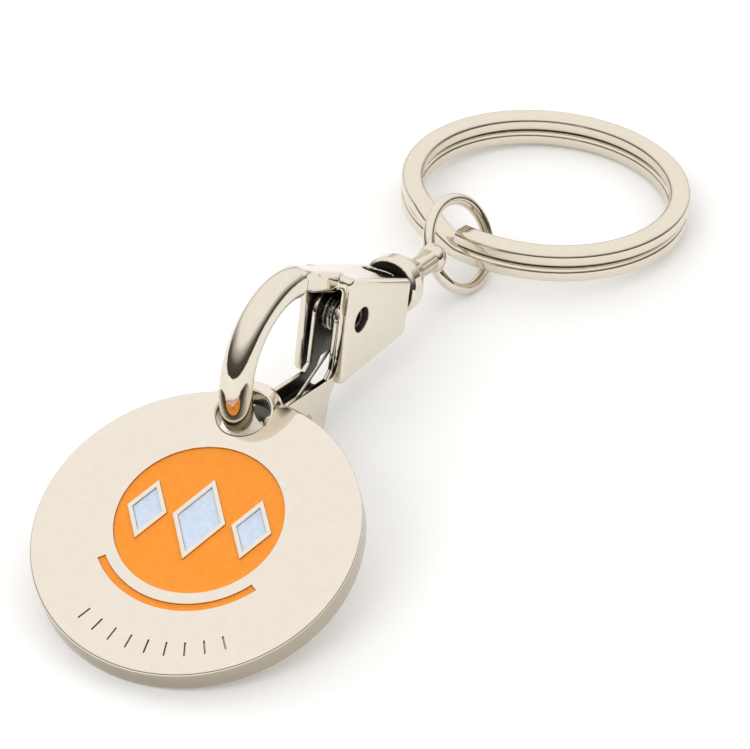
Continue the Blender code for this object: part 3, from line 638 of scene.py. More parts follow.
def trace(start, steps, arc_step=ARC_STEP):
    """A closed outline in XY from start.

    A step is ("line", x, y) to a point or ("arc", x, y, angle) round a centre.
    """
    work = bmesh.new()
    last = work.verts.new((*start, 0.0))
    for step in steps:
        place = Vector((step[1], step[2], 0.0))
        if step[0] == "line":
            corner = work.verts.new(place)
            work.edges.new((last, corner))
            last = corner
            continue
        pieces = max(2, round(abs(step[3]) / arc_step))
        turned = bmesh.ops.spin(
            work, geom=[last], cent=place, axis=Z_AXIS, angle=step[3], steps=pieces
        )
        last = next(v for v in turned["geom_last"] if isinstance(v, bmesh.types.BMVert))
    bmesh.ops.remove_doubles(work, verts=work.verts, dist=MERGE)
    return work


def ring_outline(radius, x, y, segments):
    work = bmesh.new()
    bmesh.ops.create_circle(work, radius=radius, segments=segments)
    bmesh.ops.translate(work, verts=work.verts, vec=(x, y, 0.0))
    return work


def diamond_outline(half_width, half_height, x, y):
    work = bmesh.new()
    bmesh.ops.create_circle(work, radius=1.0, segments=4)
    bmesh.ops.scale(work, verts=work.verts, vec=(half_width, half_height, 1.0))
    bmesh.ops.translate(work, verts=work.verts, vec=(x, y, 0.0))
    return work


def together(works):
    """All the shapes in one bmesh; they stay separate bodies."""
    whole = bmesh.new()
    for work in works:
        mesh = bpy.data.meshes.new("part")
        work.to_mesh(mesh)
        work.free()
        whole.from_mesh(mesh)
        bpy.data.meshes.remove(mesh)
    return whole


def slab(outlines, low, high):
    """A flat plate between two heights, with every inner outline as a hole."""
    work = together(outlines)
    bmesh.ops.triangle_fill(
        work, use_beauty=True, use_dissolve=False, edges=work.edges, normal=Z_AXIS
    )
    bmesh.ops.recalc_face_normals(work, faces=work.faces)
    if work.faces[:][0].normal.z > 0:
        bmesh.ops.reverse_faces(work, faces=work.faces)
    bmesh.ops.translate(work, verts=work.verts, vec=(0.0, 0.0, low))
    raised = bmesh.ops.extrude_face_region(work, geom=work.faces[:])
    top = [v for v in raised["geom"] if isinstance(v, bmesh.types.BMVert)]
    bmesh.ops.translate(work, verts=top, vec=(0.0, 0.0, high - low))
    bmesh.ops.recalc_face_normals(work, faces=work.faces)
    return work


def side_slab(outline, half_width):
    """A plate whose outline lies in the hook's XZ plane, centred on Y."""
    work = slab([outline], -half_width, half_width)
    bmesh.ops.rotate(work, verts=work.verts, matrix=Matrix.Rotation(math.pi / 2, 3, "X"))
    return work


def cylinder(radius, start, end, axis_turn):
    """A bar along its own Z from start to end, then turned."""
    work = bmesh.new()
    bmesh.ops.create_cone(
        work,
        cap_ends=True,
        segments=BAR_SEGMENTS,
        radius1=radius,
        radius2=radius,
        depth=end - start,
    )
    bmesh.ops.translate(work, verts=work.verts, vec=(0.0, 0.0, (start + end) / 2))
    bmesh.ops.transform(work, verts=work.verts, matrix=axis_turn)
    return work


def full_turn(work, axis, steps, place):
    """Spins a drawn line once round an axis to a closed solid, and puts that in its place."""
    bmesh.ops.spin(
        work,
        geom=work.verts[:] + work.edges[:],
        axis=axis,
        angle=math.tau,
        steps=steps,
        use_merge=True,
    )
    bmesh.ops.remove_doubles(work, verts=work.verts, dist=MERGE)
    bmesh.ops.recalc_face_normals(work, faces=work.faces)
    bmesh.ops.transform(work, verts=work.verts, matrix=place)
    return work


def turned(profile, steps, axis_turn):
    """A turned solid: profile is (radius, height) with both ends on the axis."""
    work = bmesh.new()
    points = [work.verts.new((r, 0.0, h)) for r, h in profile]
    for a, b in zip(points, points[1:]):
        work.edges.new((a, b))
    return full_turn(work, Z_AXIS, steps, axis_turn)


def round_edges(work, edges, width, segments):
    bmesh.ops.bevel(
        work,
        geom=edges,
        offset=width,
        offset_type="OFFSET",
        affect="EDGES",
        segments=segments,
        profile=0.5,
        material=-1,
        clamp_overlap=True,
    )


def flat_section(width, height, shift, rounding, segments):
    """A four-sided wire section in XY with rounded corners, shifted along X."""
    work = bmesh.new()
    bmesh.ops.create_circle(work, radius=math.sqrt(0.5), segments=4)
    bmesh.ops.rotate(work, verts=work.verts, matrix=Matrix.Rotation(math.pi / 4, 3, "Z"))
    bmesh.ops.scale(work, verts=work.verts, vec=(width, height, 1.0))
    bmesh.ops.translate(work, verts=work.verts, vec=(shift, 0.0, 0.0))
    bmesh.ops.bevel(
        work,
        geom=work.verts[:],
        offset=rounding,
        affect="VERTICES",
        segments=segments,
        profile=0.5,
        material=-1,
    )
    return work


def sharp_edges(work, degrees=50.0):
    """Edges that turn by more than the angle."""
    limit = math.radians(degrees)
    return [e for e in work.edges if len(e.link_faces) == 2 and e.calc_face_angle(0.0) > limit]


ALONG_X = Matrix.Rotation(math.pi / 2, 4, "Y")
ALONG_Y = Matrix.Rotation(-math.pi / 2, 4, "X")


# Frames of the pieces, from the fixed frame


def hook_frame():
    """The hook's own frame: X on the swivel's axis, Z towards the arm."""
    swivel = JOINTS["swivel_turn"]
    along = Vector(swivel["axis"]).normalized()
    turn = Matrix((along, Y_AXIS, along.cross(Y_AXIS))).transposed().to_4x4()
    origin = Vector(swivel["pos_m"]) - along * settings().swivel.eye_distance
    return Matrix.Translation(origin) @ turn


def node_middle(node):
    """The middle of a CAD node's corner points."""
    corners = {tuple(round(c, 7) for c in v.co) for v in frame["nodes"][node].data.vertices}
    return sum((Vector(c) for c in corners), Vector()) / len(corners)


def coin_frame():
    """The coin's own frame, from the three diamonds in its face."""
    sizes = settings().coin
    left = node_middle("pale_enamel_left")
    centre = node_middle("pale_enamel_centre")
    right = node_middle("pale_enamel_right")
    across = (right - left).normalized()
    faces = frame["nodes"]["pale_enamel_centre"].data.polygons
    out = max(faces, key=lambda face: face.area).normal.copy()
    if out.z < 0:
        out.negate()
    up = out.cross(across)
    floor = sizes.thickness / 2 - sizes.pocket_depth + sizes.enamel_floor_gap
    height = floor + sizes.enamel_thickness / 2
    origin = centre - up * sizes.field_rise - out * height
    return Matrix.Translation(origin) @ Matrix((across, up, out)).transposed().to_4x4()


def ring_frame():
    """The split ring's own frame: its wire runs round its Z axis."""
    sizes = settings().ring
    eye = Vector(JOINTS["ring_swing"]["pos_m"])
    wire = eye + Vector((sizes.eye_offset, 0.0, -sizes.eye_drop))
    turn = Matrix.Rotation(sizes.yaw, 4, "Z") @ Matrix.Rotation(sizes.tilt, 4, "Y")
    mean = sizes.radius - sizes.wire_width / 2
    return Matrix.Translation(wire + turn.to_3x3() @ (X_AXIS * mean)) @ turn


# The coin and its enamel


def coin_outline():
    """Disc, ear and the fillets between them."""
    sizes = settings().coin
    ear = sizes.radius - sizes.ear_inset
    far = sizes.radius + sizes.fillet
    near = sizes.ear_radius + sizes.fillet
    y = (ear**2 + far**2 - near**2) / (2 * ear)
    x = math.sqrt(far**2 - y**2)
    disc = math.atan2(y, x)
    over = math.atan2(y - ear, x)
    start = (sizes.radius * math.cos(disc), sizes.radius * math.sin(disc))
    fillet_turn = disc - over
    return trace(
        start,
        [
            ("arc", 0.0, 0.0, -math.pi - 2 * disc),
            ("arc", -x, y, fillet_turn),
            ("arc", 0.0, ear, -math.pi + 2 * over),
            ("arc", x, y, fillet_turn),
        ],
    )


def diamond_outlines(grow):
    """The three diamonds; their sides move out by grow."""
    sizes = settings().coin
    places = [
        (sizes.side_width, sizes.side_height, -sizes.spacing),
        (sizes.middle_width, sizes.middle_height, 0.0),
        (sizes.side_width, sizes.side_height, sizes.spacing),
    ]
    outlines = []
    for half_width, half_height, x in places:
        slant = math.hypot(half_width, half_height)
        wide = half_width + grow * slant / half_height
        tall = half_height + grow * slant / half_width
        outlines.append(diamond_outline(wide, tall, x, sizes.field_rise))
    return outlines


def field_outlines(shrink):
    sizes = settings().coin
    field = ring_outline(sizes.field_radius - shrink, 0.0, sizes.field_rise, FIELD_SEGMENTS)
    return [field] + diamond_outlines(sizes.border + shrink)


def bow_outline(shrink):
    """The thin bow below the field."""
    sizes = settings().coin
    inner = sizes.field_radius + sizes.bar_gap + shrink
    outer = sizes.field_radius + sizes.bar_gap + sizes.bar_width - shrink
    half = sizes.bar_half_sweep - shrink / outer
    first = Vector((-math.sin(half), -math.cos(half)))
    last = Vector((math.sin(half), -math.cos(half)))
    rise = Vector((0.0, sizes.field_rise))
    return trace(
        first * outer + rise,
        [
            ("arc", 0.0, sizes.field_rise, 2 * half),
            ("line", *(last * inner + rise)),
            ("arc", 0.0, sizes.field_rise, -2 * half),
            ("line", *(first * outer + rise)),
        ],
    )


def cut_wedges():
    """Cutters for the short cuts on an arc near the lower rim; they narrow downwards."""
    sizes = settings().coin
    half = sizes.thickness / 2
    outer = sizes.radius - sizes.tick_rim_gap
    wedges = []
    for i in range(sizes.ticks):
        work = bmesh.new()
        bmesh.ops.create_cube(work, size=1.0)
        depth = sizes.tick_depth + OVERRUN
        grow = (sizes.tick_width, sizes.tick_length, depth)
        bmesh.ops.scale(work, verts=work.verts, vec=grow)
        low = [v for v in work.verts if v.co.z < 0.0]
        bmesh.ops.scale(work, verts=low, vec=(sizes.tick_taper, 1.0, 1.0))
        lift = half - sizes.tick_depth + depth / 2
        bmesh.ops.translate(work, verts=work.verts, vec=(0.0, sizes.tick_length / 2 - outer, lift))
        turn = sizes.tick_half_sweep * (2 * i / (sizes.ticks - 1) - 1)
        bmesh.ops.rotate(work, verts=work.verts, matrix=Matrix.Rotation(turn, 3, "Z"))
        wedges.append(work)
    return wedges


# The share of its rounded edge at which the coin's rougher rim, darkened with painted shade, starts
# below the faces
RIM_SHARE = 0.9


class KEYRING_OT_coin(bpy.types.Operator):
    """Build the struck coin with its ear, pockets and short cuts"""

    bl_idname = "keyring.coin"
    bl_label = "Coin"

    def execute(self, context):
        sizes = settings().coin
        finish = settings().finish
        half = sizes.thickness / 2
        ear = sizes.radius - sizes.ear_inset
        hole = ring_outline(sizes.hole_radius, 0.0, ear, HOLE_SEGMENTS)
        work = slab([coin_outline(), hole], -half, half)
        round_edges(work, sharp_edges(work), sizes.edge, EDGE_SEGMENTS)
        shapes = [field_outlines(0.0), [bow_outline(0.0)]]
        shapes += [[outline] for outline in diamond_outlines(0.0)]
        pockets = [slab(shape, half - sizes.pocket_depth, half + OVERRUN) for shape in shapes]
        pockets += cut_wedges()
        work = combine(work, [("DIFFERENCE", together(pockets))])
        face = [f for f in work.faces if f.normal.z > LEVEL and len(f.verts) > 4]
        bmesh.ops.triangulate(work, faces=face, quad_method="BEAUTY", ngon_method="BEAUTY")
        upper = half - MERGE
        lips = [e for e in sharp_edges(work) if all(v.co.z > upper for v in e.verts)]
        round_edges(work, lips, sizes.pocket_edge, LIP_SEGMENTS)
        # The rim and the hole's wall are rougher and darkened with painted shade
        rim = half - RIM_SHARE * sizes.edge
        mark_inside(work, lambda point: abs(point.z) < rim)
        place = coin_frame()
        plating = metal(
            "coin_plating",
            finish.coin_metal,
            finish.coin_roughness,
            ripple=0.000006,
            grain_turn=tuple(place.to_3x3().inverted().to_euler()),
            grain_stretch=(900.0, 14000.0, 900.0),
            grain=0.00000035,
        )
        rough_with_painted_shade(plating, finish.coin_rim_painted_shade, RIM_ROUGHER)
        borders = flat_borders(work)
        piece = finish_piece("struck_coin", work, place, plating, "coin", ["coin_disc"])
        for index in borders:
            piece.data.attributes["sharp_edge"].data[index].value = True
        return {"FINISHED"}


def make_enamel(name, outlines, material, node):
    """One poured field: its edge climbs a little up the metal."""
    sizes = settings().coin
    low = sizes.thickness / 2 - sizes.pocket_depth + sizes.enamel_floor_gap
    high = low + sizes.enamel_thickness
    work = slab(outlines, low, high)
    middle = (low + high) / 2
    top = [f for f in work.faces if f.normal.z > MOSTLY and f.calc_center_median().z > middle]
    bmesh.ops.inset_region(
        work,
        faces=top,
        thickness=sizes.meniscus_width,
        depth=-sizes.meniscus_drop,
        use_even_offset=True,
        use_boundary=True,
    )
    piece = finish_piece(name, work, coin_frame(), material, "coin", [node])
    weighted(piece)


class KEYRING_OT_enamel(bpy.types.Operator):
    """Pour the orange field and bow and the three pale diamonds"""

    bl_idname = "keyring.enamel"
    bl_label = "Enamel"

    def execute(self, context):
        gap = settings().coin.enamel_gap
        finish = settings().finish
        orange = enamel("poured_orange", finish.orange, finish.enamel_roughness)
        pale = enamel("poured_pale", finish.pale, finish.enamel_roughness)
        make_enamel("poured_field", field_outlines(gap), orange, "orange_enamel")
        make_enamel("poured_bow", [bow_outline(gap)], orange, "orange_enamel_bar")
        for side, outline in zip(("left", "centre", "right"), diamond_outlines(-gap)):
            node = "pale_enamel_" + side
            make_enamel("poured_diamond_" + side, [outline], pale, node)
        return {"FINISHED"}


# The hook's body and gate


def cast_finish(name):
    """Plating of the cast pieces, with its grain along the hook."""
    finish = settings().finish
    return metal(
        name,
        finish.cast_metal,
        finish.cast_roughness,
        ripple=0.000010,
        grain_turn=(0.0, 0.23, 0.0),
        grain_stretch=(700.0, 9000.0, 5000.0),
        grain=0.0000003,
    )


def body_top(x):
    """Height of the body's sloping top."""
    sizes = settings().hook
    gone = (x - sizes.front_x) / sizes.body_length
    return sizes.front_top + (sizes.end_top - sizes.front_top) * gone


def body_block():
    """The cheeks' block with its rounded outline and edges."""
    sizes = settings().hook
    end = sizes.front_x + sizes.body_length
    outline = trace(
        (sizes.front_x, sizes.front_top),
        [
            ("line", sizes.waist_x, sizes.waist_z),
            ("line", sizes.foot_x, sizes.foot_z),
            ("line", end, sizes.end_bottom),
            ("line", end, sizes.end_top),
            ("line", sizes.front_x, sizes.front_top),
        ],
    )
    work = side_slab(outline, sizes.half_width)
    bmesh.ops.dissolve_limit(
        work, angle_limit=math.radians(0.5), verts=work.verts, edges=work.edges
    )

    def is_corner(edge):
        """An edge across the body, but not the one above the swivel, which stays sharp."""
        first, last = (vert.co for vert in edge.verts)
        above_swivel = abs(first.x - end) + abs(first.z - sizes.end_top) <= MERGE
        return abs((first - last).normalized().y) > MOSTLY and not above_swivel

    corners = [edge for edge in sharp_edges(work, 30.0) if is_corner(edge)]
    round_edges(work, corners, sizes.corner, CORNER_SEGMENTS)
    round_edges(work, sharp_edges(work, 60.0), sizes.edge, EDGE_SEGMENTS)
    return work


def cavity_cutter():
    """The gap between the cheeks, open at the front and below."""
    sizes = settings().hook
    front = sizes.front_x - OVERRUN
    back = sizes.front_x + sizes.cavity_depth
    below = sizes.foot_z - OVERRUN
    outline = trace(
        (front, below),
        [
            ("line", back, below),
            ("line", back, body_top(back) - sizes.top_wall),
            ("line", front, body_top(front) - sizes.top_wall),
            ("line", front, below),
        ],
    )
    return side_slab(outline, sizes.cavity_half_width)


def arm_place(work, turn):
    """Turns a section drawn in XY, X outwards, to its place on the arm's arc."""
    sizes = settings().hook
    bmesh.ops.rotate(work, verts=work.verts, matrix=Matrix.Rotation(math.pi, 3, "X"))
    bmesh.ops.translate(work, verts=work.verts, vec=(sizes.arc_radius, 0.0, 0.0))
    bmesh.ops.rotate(work, verts=work.verts, matrix=Matrix.Rotation(-turn, 3, "Y"))
    bmesh.ops.translate(work, verts=work.verts, vec=(sizes.arc_x, 0.0, sizes.arc_z))


def spin_on_arc(work, sweep, steps):
    """Draws a section that is in its place on along the arm's arc."""
    sizes = settings().hook
    bmesh.ops.spin(
        work,
        geom=work.verts[:] + work.edges[:],
        cent=(sizes.arc_x, 0.0, sizes.arc_z),
        axis=Y_AXIS,
        angle=-sweep,
        steps=steps,
    )


def close_ends(work):
    bmesh.ops.holes_fill(work, edges=[e for e in work.edges if e.is_boundary])
    bmesh.ops.recalc_face_normals(work, faces=work.faces)
    return work


def arm_bar():
    """The loop's arm: a round bar spun round the arc from its lip to its tip."""
    sizes = settings().hook
    work = bmesh.new()
    radius = sizes.arm_radius + sizes.lip_step
    bmesh.ops.create_circle(work, radius=radius, segments=ARM_SEGMENTS)
    arm_place(work, sizes.arm_root + sizes.lip_sweep)
    spin_on_arc(work, sizes.arm_sweep - sizes.lip_sweep, ARM_STEPS)
    return close_ends(work)


def arm_root():
    """The arm's flat-sided root, on the arc and then along the body's top."""
    sizes = settings().hook
    height = sizes.root_outer + sizes.root_inner
    shift = height / 2 - sizes.root_inner
    width = 2 * sizes.root_half_width
    work = flat_section(height, width, shift, sizes.root_edge, ROOT_CORNER_SEGMENTS)
    arm_place(work, sizes.arm_root)
    first = work.edges[:]
    spin_on_arc(work, sizes.lip_sweep * ROOT_OVERLAP, ROOT_STEPS)
    slope = math.atan2(sizes.front_top - sizes.end_top, sizes.body_length)
    run = bmesh.ops.extrude_edge_only(work, edges=first)
    ends = [v for v in run["geom"] if isinstance(v, bmesh.types.BMVert)]
    way = Vector((math.cos(slope), 0.0, -math.sin(slope))) * sizes.root_run
    bmesh.ops.translate(work, verts=ends, vec=way)
    return close_ends(work)


def window_cutter():
    """The round window in the sloping top, above the swivel's shank."""
    sizes = settings().hook
    end = sizes.front_x + sizes.body_length - sizes.window_end
    floor = body_top(end) - sizes.window_depth
    top = body_top(end - sizes.window) + OVERRUN
    radius = sizes.window / 2
    return cylinder(radius, floor, top, Matrix.Translation((end - radius, 0.0, 0.0)))


def off_rivet(point):
    """Distance of a point from the rivet's axis."""
    sizes = settings().hook
    return math.hypot(point.x - sizes.rivet_x, point.z - sizes.rivet_z)


def in_hook_hollow(point):
    """Whether a point of the skin is between the cheeks, in the window or in the rivet's bore."""
    sizes = settings().hook
    bore = sizes.rivet_radius + sizes.running_gap + sizes.skin
    if off_rivet(point) < bore and abs(point.y) < sizes.half_width - sizes.skin:
        return True
    if abs(point.y) < sizes.cavity_half_width + sizes.skin:
        under = point.z < body_top(point.x) - sizes.top_wall + sizes.skin
        front = sizes.front_x + sizes.corner / 2
        back = sizes.front_x + sizes.cavity_depth + sizes.skin
        if under and front < point.x < back:
            return True
    middle = sizes.front_x + sizes.body_length - sizes.window_end - sizes.window / 2
    off = math.hypot(point.x - middle, point.y)
    sunk = 0.0 < point.z < body_top(point.x) - 2 * sizes.skin
    return sunk and off < sizes.window / 2 + sizes.skin


def rivet_place():
    """The rivet's axis, across the hook."""
    sizes = settings().hook
    return Matrix.Translation((sizes.rivet_x, 0.0, sizes.rivet_z)) @ ALONG_Y


def rivet_hole(half_width):
    """A cutter for the rivet's bore through a piece of this half width."""
    sizes = settings().hook
    half = half_width + OVERRUN
    return cylinder(sizes.rivet_radius + sizes.running_gap, -half, half, rivet_place())


def cast_piece(name, work, sizes, hollow, finish, body, node):
    """Softens a casting, marks its hollow and finishes it as a piece of its body."""
    work = cast_skin(work, sizes.skin, sizes.soft_passes)
    mark_inside(work, hollow)
    finish_piece(name, work, hook_frame(), finish, body, [node])


class KEYRING_OT_hook(bpy.types.Operator):
    """Build the hook's body with its arm as one soft casting"""

    bl_idname = "keyring.hook"
    bl_label = "Hook body"

    def execute(self, context):
        sizes = settings().hook
        shank = settings().swivel.shank_radius + sizes.running_gap
        start = sizes.front_x + sizes.cavity_depth - OVERRUN
        end = sizes.front_x + sizes.body_length + OVERRUN
        work = combine(
            body_block(),
            [
                ("DIFFERENCE", cavity_cutter()),
                ("UNION", arm_root()),
                ("UNION", arm_bar()),
                ("DIFFERENCE", window_cutter()),
                ("DIFFERENCE", rivet_hole(sizes.half_width)),
                ("DIFFERENCE", cylinder(shank, start, end, ALONG_X)),
            ],
        )
        # The cavity, the window and the rivet's bore are rougher and darkened with painted shade
        plating = rough_with_painted_shade(cast_finish("cast_plating"))
        cast_piece("cast_hook", work, sizes, in_hook_hollow, plating, "hook", "hook_body")
        return {"FINISHED"}


class KEYRING_OT_rivet(bpy.types.Operator):
    """Turn the gate's rivet with its small end bores"""

    bl_idname = "keyring.rivet"
    bl_label = "Gate rivet"

    def execute(self, context):
        sizes = settings().hook
        half = sizes.half_width - sizes.rivet_sunk
        edge = sizes.rivet_edge
        small = edge / 3
        profile = [
            (0.0, half - sizes.rivet_bore_depth),
            (sizes.rivet_bore, half - sizes.rivet_bore_depth),
            (sizes.rivet_bore, half - small),
            (sizes.rivet_bore + small, half),
            (sizes.rivet_radius - edge, half),
            (sizes.rivet_radius - small, half - small),
            (sizes.rivet_radius, half - edge),
        ]
        profile += [(r, -h) for r, h in reversed(profile)]
        work = turned(profile, RIVET_STEPS, rivet_place())
        # The rivet's sunk end faces and bores are rougher and darkened with painted shade
        face = sizes.rivet_radius - edge
        mark_inside(work, lambda point: off_rivet(point) < face)
        plating = rough_with_painted_shade(cast_finish("rivet_plating"))
        piece = finish_piece("turned_rivet", work, hook_frame(), plating, "hook", ["gate_rivet"])
        weighted(piece)
        return {"FINISHED"}


def on_arm(radius, turn):
    """A point (x, z) at a radius and an angle of the arm's arc."""
    sizes = settings().hook
    return Vector((sizes.arc_x + radius * math.cos(turn), sizes.arc_z + radius * math.sin(turn)))


def gate_outline():
    """Side view of the gate: nose, finger, thumb lug and hub."""
    hook = settings().hook
    sizes = settings().gate
    tip = hook.arm_root + hook.arm_sweep + sizes.nose_gap / hook.arc_radius
    nose_in = on_arm(hook.arc_radius - hook.arm_radius, tip)
    nose_out = on_arm(hook.arc_radius + hook.arm_radius, tip)
    lug_left = sizes.lug_x - sizes.lug_radius
    lug_right = sizes.lug_x + sizes.lug_radius
    hub_left = hook.rivet_x - sizes.hub_radius
    hub_first = Vector((
        hook.rivet_x + sizes.hub_radius * math.cos(sizes.hub_start),
        hook.rivet_z + sizes.hub_radius * math.sin(sizes.hub_start),
    ))
    return trace(
        nose_in,
        [
            ("line", *nose_out),
            ("line", nose_out.x + sizes.nose_drop, nose_out.y - sizes.nose_drop),
            ("line", sizes.nose_drop / 2, sizes.bottom_z),
            ("line", lug_left - sizes.neck, sizes.bottom_z),
            ("line", lug_left, sizes.bottom_z - sizes.neck),
            ("line", lug_left, sizes.lug_z),
            ("arc", sizes.lug_x, sizes.lug_z, math.pi),
            ("line", lug_right + sizes.heel, sizes.bottom_z + sizes.floor / 2),
            ("line", *hub_first),
            ("arc", hook.rivet_x, hook.rivet_z, math.pi - sizes.hub_start),
            ("line", hub_left, sizes.top_z + sizes.neck),
            ("line", hub_left - sizes.neck, sizes.top_z),
            ("line", -sizes.neck, sizes.top_z),
            ("line", *nose_in),
        ],
        COARSE_ARC_STEP,
    )


def channel_cutter():
    """The gate's hollow, open to the loop and round the hub."""
    hook = settings().hook
    sizes = settings().gate
    floor = sizes.bottom_z + sizes.floor
    right = hook.rivet_x + sizes.hub_radius + OVERRUN
    above = hook.rivet_z + sizes.hub_radius + OVERRUN
    left = hook.arc_x - sizes.floor
    outline = trace(
        (left, above),
        [
            ("line", left, floor),
            ("line", right, floor),
            ("line", right, above),
            ("line", left, above),
        ],
    )
    return side_slab(outline, sizes.half_width - sizes.wall)


def in_gate_hollow(point):
    """Whether a point of the skin is between the gate's walls and above its floor."""
    sizes = settings().gate
    between = abs(point.y) < sizes.half_width - sizes.wall + sizes.skin
    return between and point.z > sizes.bottom_z + sizes.floor / 2


class KEYRING_OT_gate(bpy.types.Operator):
    """Build the hollow gate with its thumb lug"""

    bl_idname = "keyring.gate"
    bl_label = "Gate"

    def execute(self, context):
        sizes = settings().gate
        work = combine(
            side_slab(gate_outline(), sizes.half_width),
            [("DIFFERENCE", channel_cutter()), ("DIFFERENCE", rivet_hole(sizes.half_width))],
        )
        # The gate's channel between its walls is rougher and darkened with painted shade
        plating = rough_with_painted_shade(cast_finish("gate_plating"))
        cast_piece("cast_gate", work, sizes, in_gate_hollow, plating, "gate", "gate")
        return {"FINISHED"}


# The swivel and the split ring


def swivel_body():
    """Cone, collar and headed shank on the swivel's axis, and where the cone starts."""
    hook = settings().hook
    sizes = settings().swivel
    start = hook.front_x + hook.body_length + sizes.gap
    shoulder = start + sizes.collar_length
    foot = hook.front_x + hook.cavity_depth - hook.running_gap
    profile = [
        (0.0, shoulder + sizes.cone_length),
        (sizes.cone_end, shoulder + sizes.cone_length),
        (sizes.collar_radius, shoulder),
        (sizes.collar_radius, start + sizes.chamfer),
        (sizes.collar_radius - sizes.chamfer, start),
        (sizes.shank_radius, start),
        (sizes.shank_radius, foot),
        (sizes.head_radius, foot),
        (sizes.head_radius, foot - sizes.head_thickness / 2),
        (sizes.head_radius / 2, foot - sizes.head_thickness),
        (0.0, foot - sizes.head_thickness),
    ]
    return turned(profile, SWIVEL_STEPS, ALONG_X), shoulder


def eye_loop(place):
    """The eye: a round wire spun to a closed loop in its own XZ plane."""
    sizes = settings().swivel
    work = bmesh.new()
    bmesh.ops.create_circle(work, radius=sizes.wire_radius, segments=EYE_WIRE_SEGMENTS)
    bmesh.ops.translate(work, verts=work.verts, vec=(sizes.eye_radius, 0.0, 0.0))
    return full_turn(work, Y_AXIS, EYE_STEPS, place)


# The share of its chamfer by which the collar's face, darkened with painted shade, ends inside its
# rim
COLLAR_FLAT = 0.8


def on_collar_face(point):
    """Whether a point lies on the collar's face that looks at the hook's body."""
    hook = settings().hook
    sizes = settings().swivel
    start = hook.front_x + hook.body_length + sizes.gap
    off = math.hypot(point.y, point.z)
    flat = sizes.collar_radius - COLLAR_FLAT * sizes.chamfer
    return point.x < start + sizes.skin and off < flat


class KEYRING_OT_swivel(bpy.types.Operator):
    """Build the swivel: collar, cone, neck and eye in one piece"""

    bl_idname = "keyring.swivel"
    bl_label = "Swivel eye"

    def execute(self, context):
        sizes = settings().swivel
        turn = Matrix.Rotation(-sizes.eye_turn, 4, "X") @ Matrix.Rotation(-sizes.eye_lean, 4, "Z")
        place = Matrix.Translation((sizes.eye_distance, 0.0, 0.0)) @ turn
        root = place @ Vector((-sizes.eye_radius, 0.0, 0.0))
        body, shoulder = swivel_body()
        start = Vector((shoulder, 0.0, 0.0))
        way = root - start
        neck_turn = Matrix.Translation(start) @ way.to_track_quat("Z", "Y").to_matrix().to_4x4()
        neck = cylinder(sizes.neck_radius, 0.0, way.length, neck_turn)
        ball = bmesh.new()
        bmesh.ops.create_uvsphere(
            ball, u_segments=BALL_SEGMENTS, v_segments=BALL_RINGS, radius=sizes.root_radius
        )
        bmesh.ops.translate(ball, verts=ball.verts, vec=root)
        work = combine(body, [("UNION", neck), ("UNION", ball), ("UNION", eye_loop(place))])
        # The collar's face towards the hook's body is darkened with painted shade
        plating = rough_with_painted_shade(cast_finish("swivel_plating"), COLLAR_PAINTED_SHADE)
        cast_piece("cast_swivel", work, sizes, on_collar_face, plating, "swivel", "swivel_eye")
        return {"FINISHED"}


# The fewest sections in a part of the split ring's wire
RAMP_STEPS = 6


class KEYRING_OT_split_ring(bpy.types.Operator):
    """Wind the split ring from one flat wire with rounded corners"""

    bl_idname = "keyring.split_ring"
    bl_label = "Split ring"

    def execute(self, context):
        sizes = settings().ring
        finish = settings().finish
        layer = sizes.wire_height + sizes.layer_gap
        mean = sizes.radius - sizes.wire_width / 2
        work = flat_section(
            sizes.wire_width, sizes.wire_height, 0.0, sizes.rounding, WIRE_CORNER_SEGMENTS
        )
        stand = Matrix.Rotation(math.pi / 2, 3, "X")
        bmesh.ops.rotate(work, verts=work.verts, matrix=stand)
        bmesh.ops.translate(work, verts=work.verts, vec=(mean, 0.0, layer / 2))
        bmesh.ops.rotate(work, verts=work.verts, matrix=Matrix.Rotation(sizes.end, 3, "Z"))
        upper = math.tau - sizes.ramp
        lower = math.tau - sizes.ramp - sizes.end_gap
        section = work.verts[:] + work.edges[:]
        for sweep, sink in ((upper, 0.0), (sizes.ramp, layer), (lower + sizes.ramp, 0.0)):
            steps = max(RAMP_STEPS, round(sizes.steps * sweep / math.tau))
            drop = Vector((0.0, 0.0, -sink / steps))
            spun = bmesh.ops.spin(
                work, geom=section, axis=Z_AXIS, angle=sweep, steps=steps, dvec=drop
            )
            section = spun["geom_last"]
        bmesh.ops.remove_doubles(work, verts=work.verts, dist=MERGE)
        bmesh.ops.holes_fill(work, edges=[e for e in work.edges if e.is_boundary])
        bmesh.ops.recalc_face_normals(work, faces=work.faces)
        plating = metal(
            "wire_plating",
            finish.wire_metal,
            finish.wire_roughness,
            ripple=0.000004,
            grain_turn=(0.0, 0.0, 0.0),
            grain_stretch=(600.0, 600.0, 9000.0),
            grain=0.0000004,
        )
        finish_piece("wound_split_ring", work, ring_frame(), plating, "ring", ["split_ring"])
        return {"FINISHED"}


# The spring's steel is darker and rougher than the ring's plating
SPRING_SHADE = 0.8
SPRING_ROUGHER = 2.0


class KEYRING_OT_spring(bpy.types.Operator):
    """Give the gate's torsion spring its drawn steel finish"""

    bl_idname = "keyring.spring"
    bl_label = "Gate spring"

    def execute(self, context):
        finish = settings().finish
        node = frame["nodes"]["gate_spring"]
        steel = metal(
            "spring_steel",
            shaded(finish.wire_metal, SPRING_SHADE),
            finish.wire_roughness * SPRING_ROUGHER,
            ripple=0.000001,
            grain_turn=(0.0, 0.0, 0.0),
            grain_stretch=(4000.0, 4000.0, 4000.0),
            grain=0.0000006,
        )
        node.data.materials.clear()
        node.data.materials.append(steel)
        return {"FINISHED"}


# The studio


# The paper's greys, and the light that lifts it to white for the camera and in reflections
PAPER_DARK = (0.90, 0.90, 0.90)
PAPER_LIGHT = (0.92, 0.92, 0.92)
FIBRE_SCALE = 900.0
FLOOR_LIFT = (0.13, 0.13, 0.13)
NO_LIFT = (0.0, 0.0, 0.0)


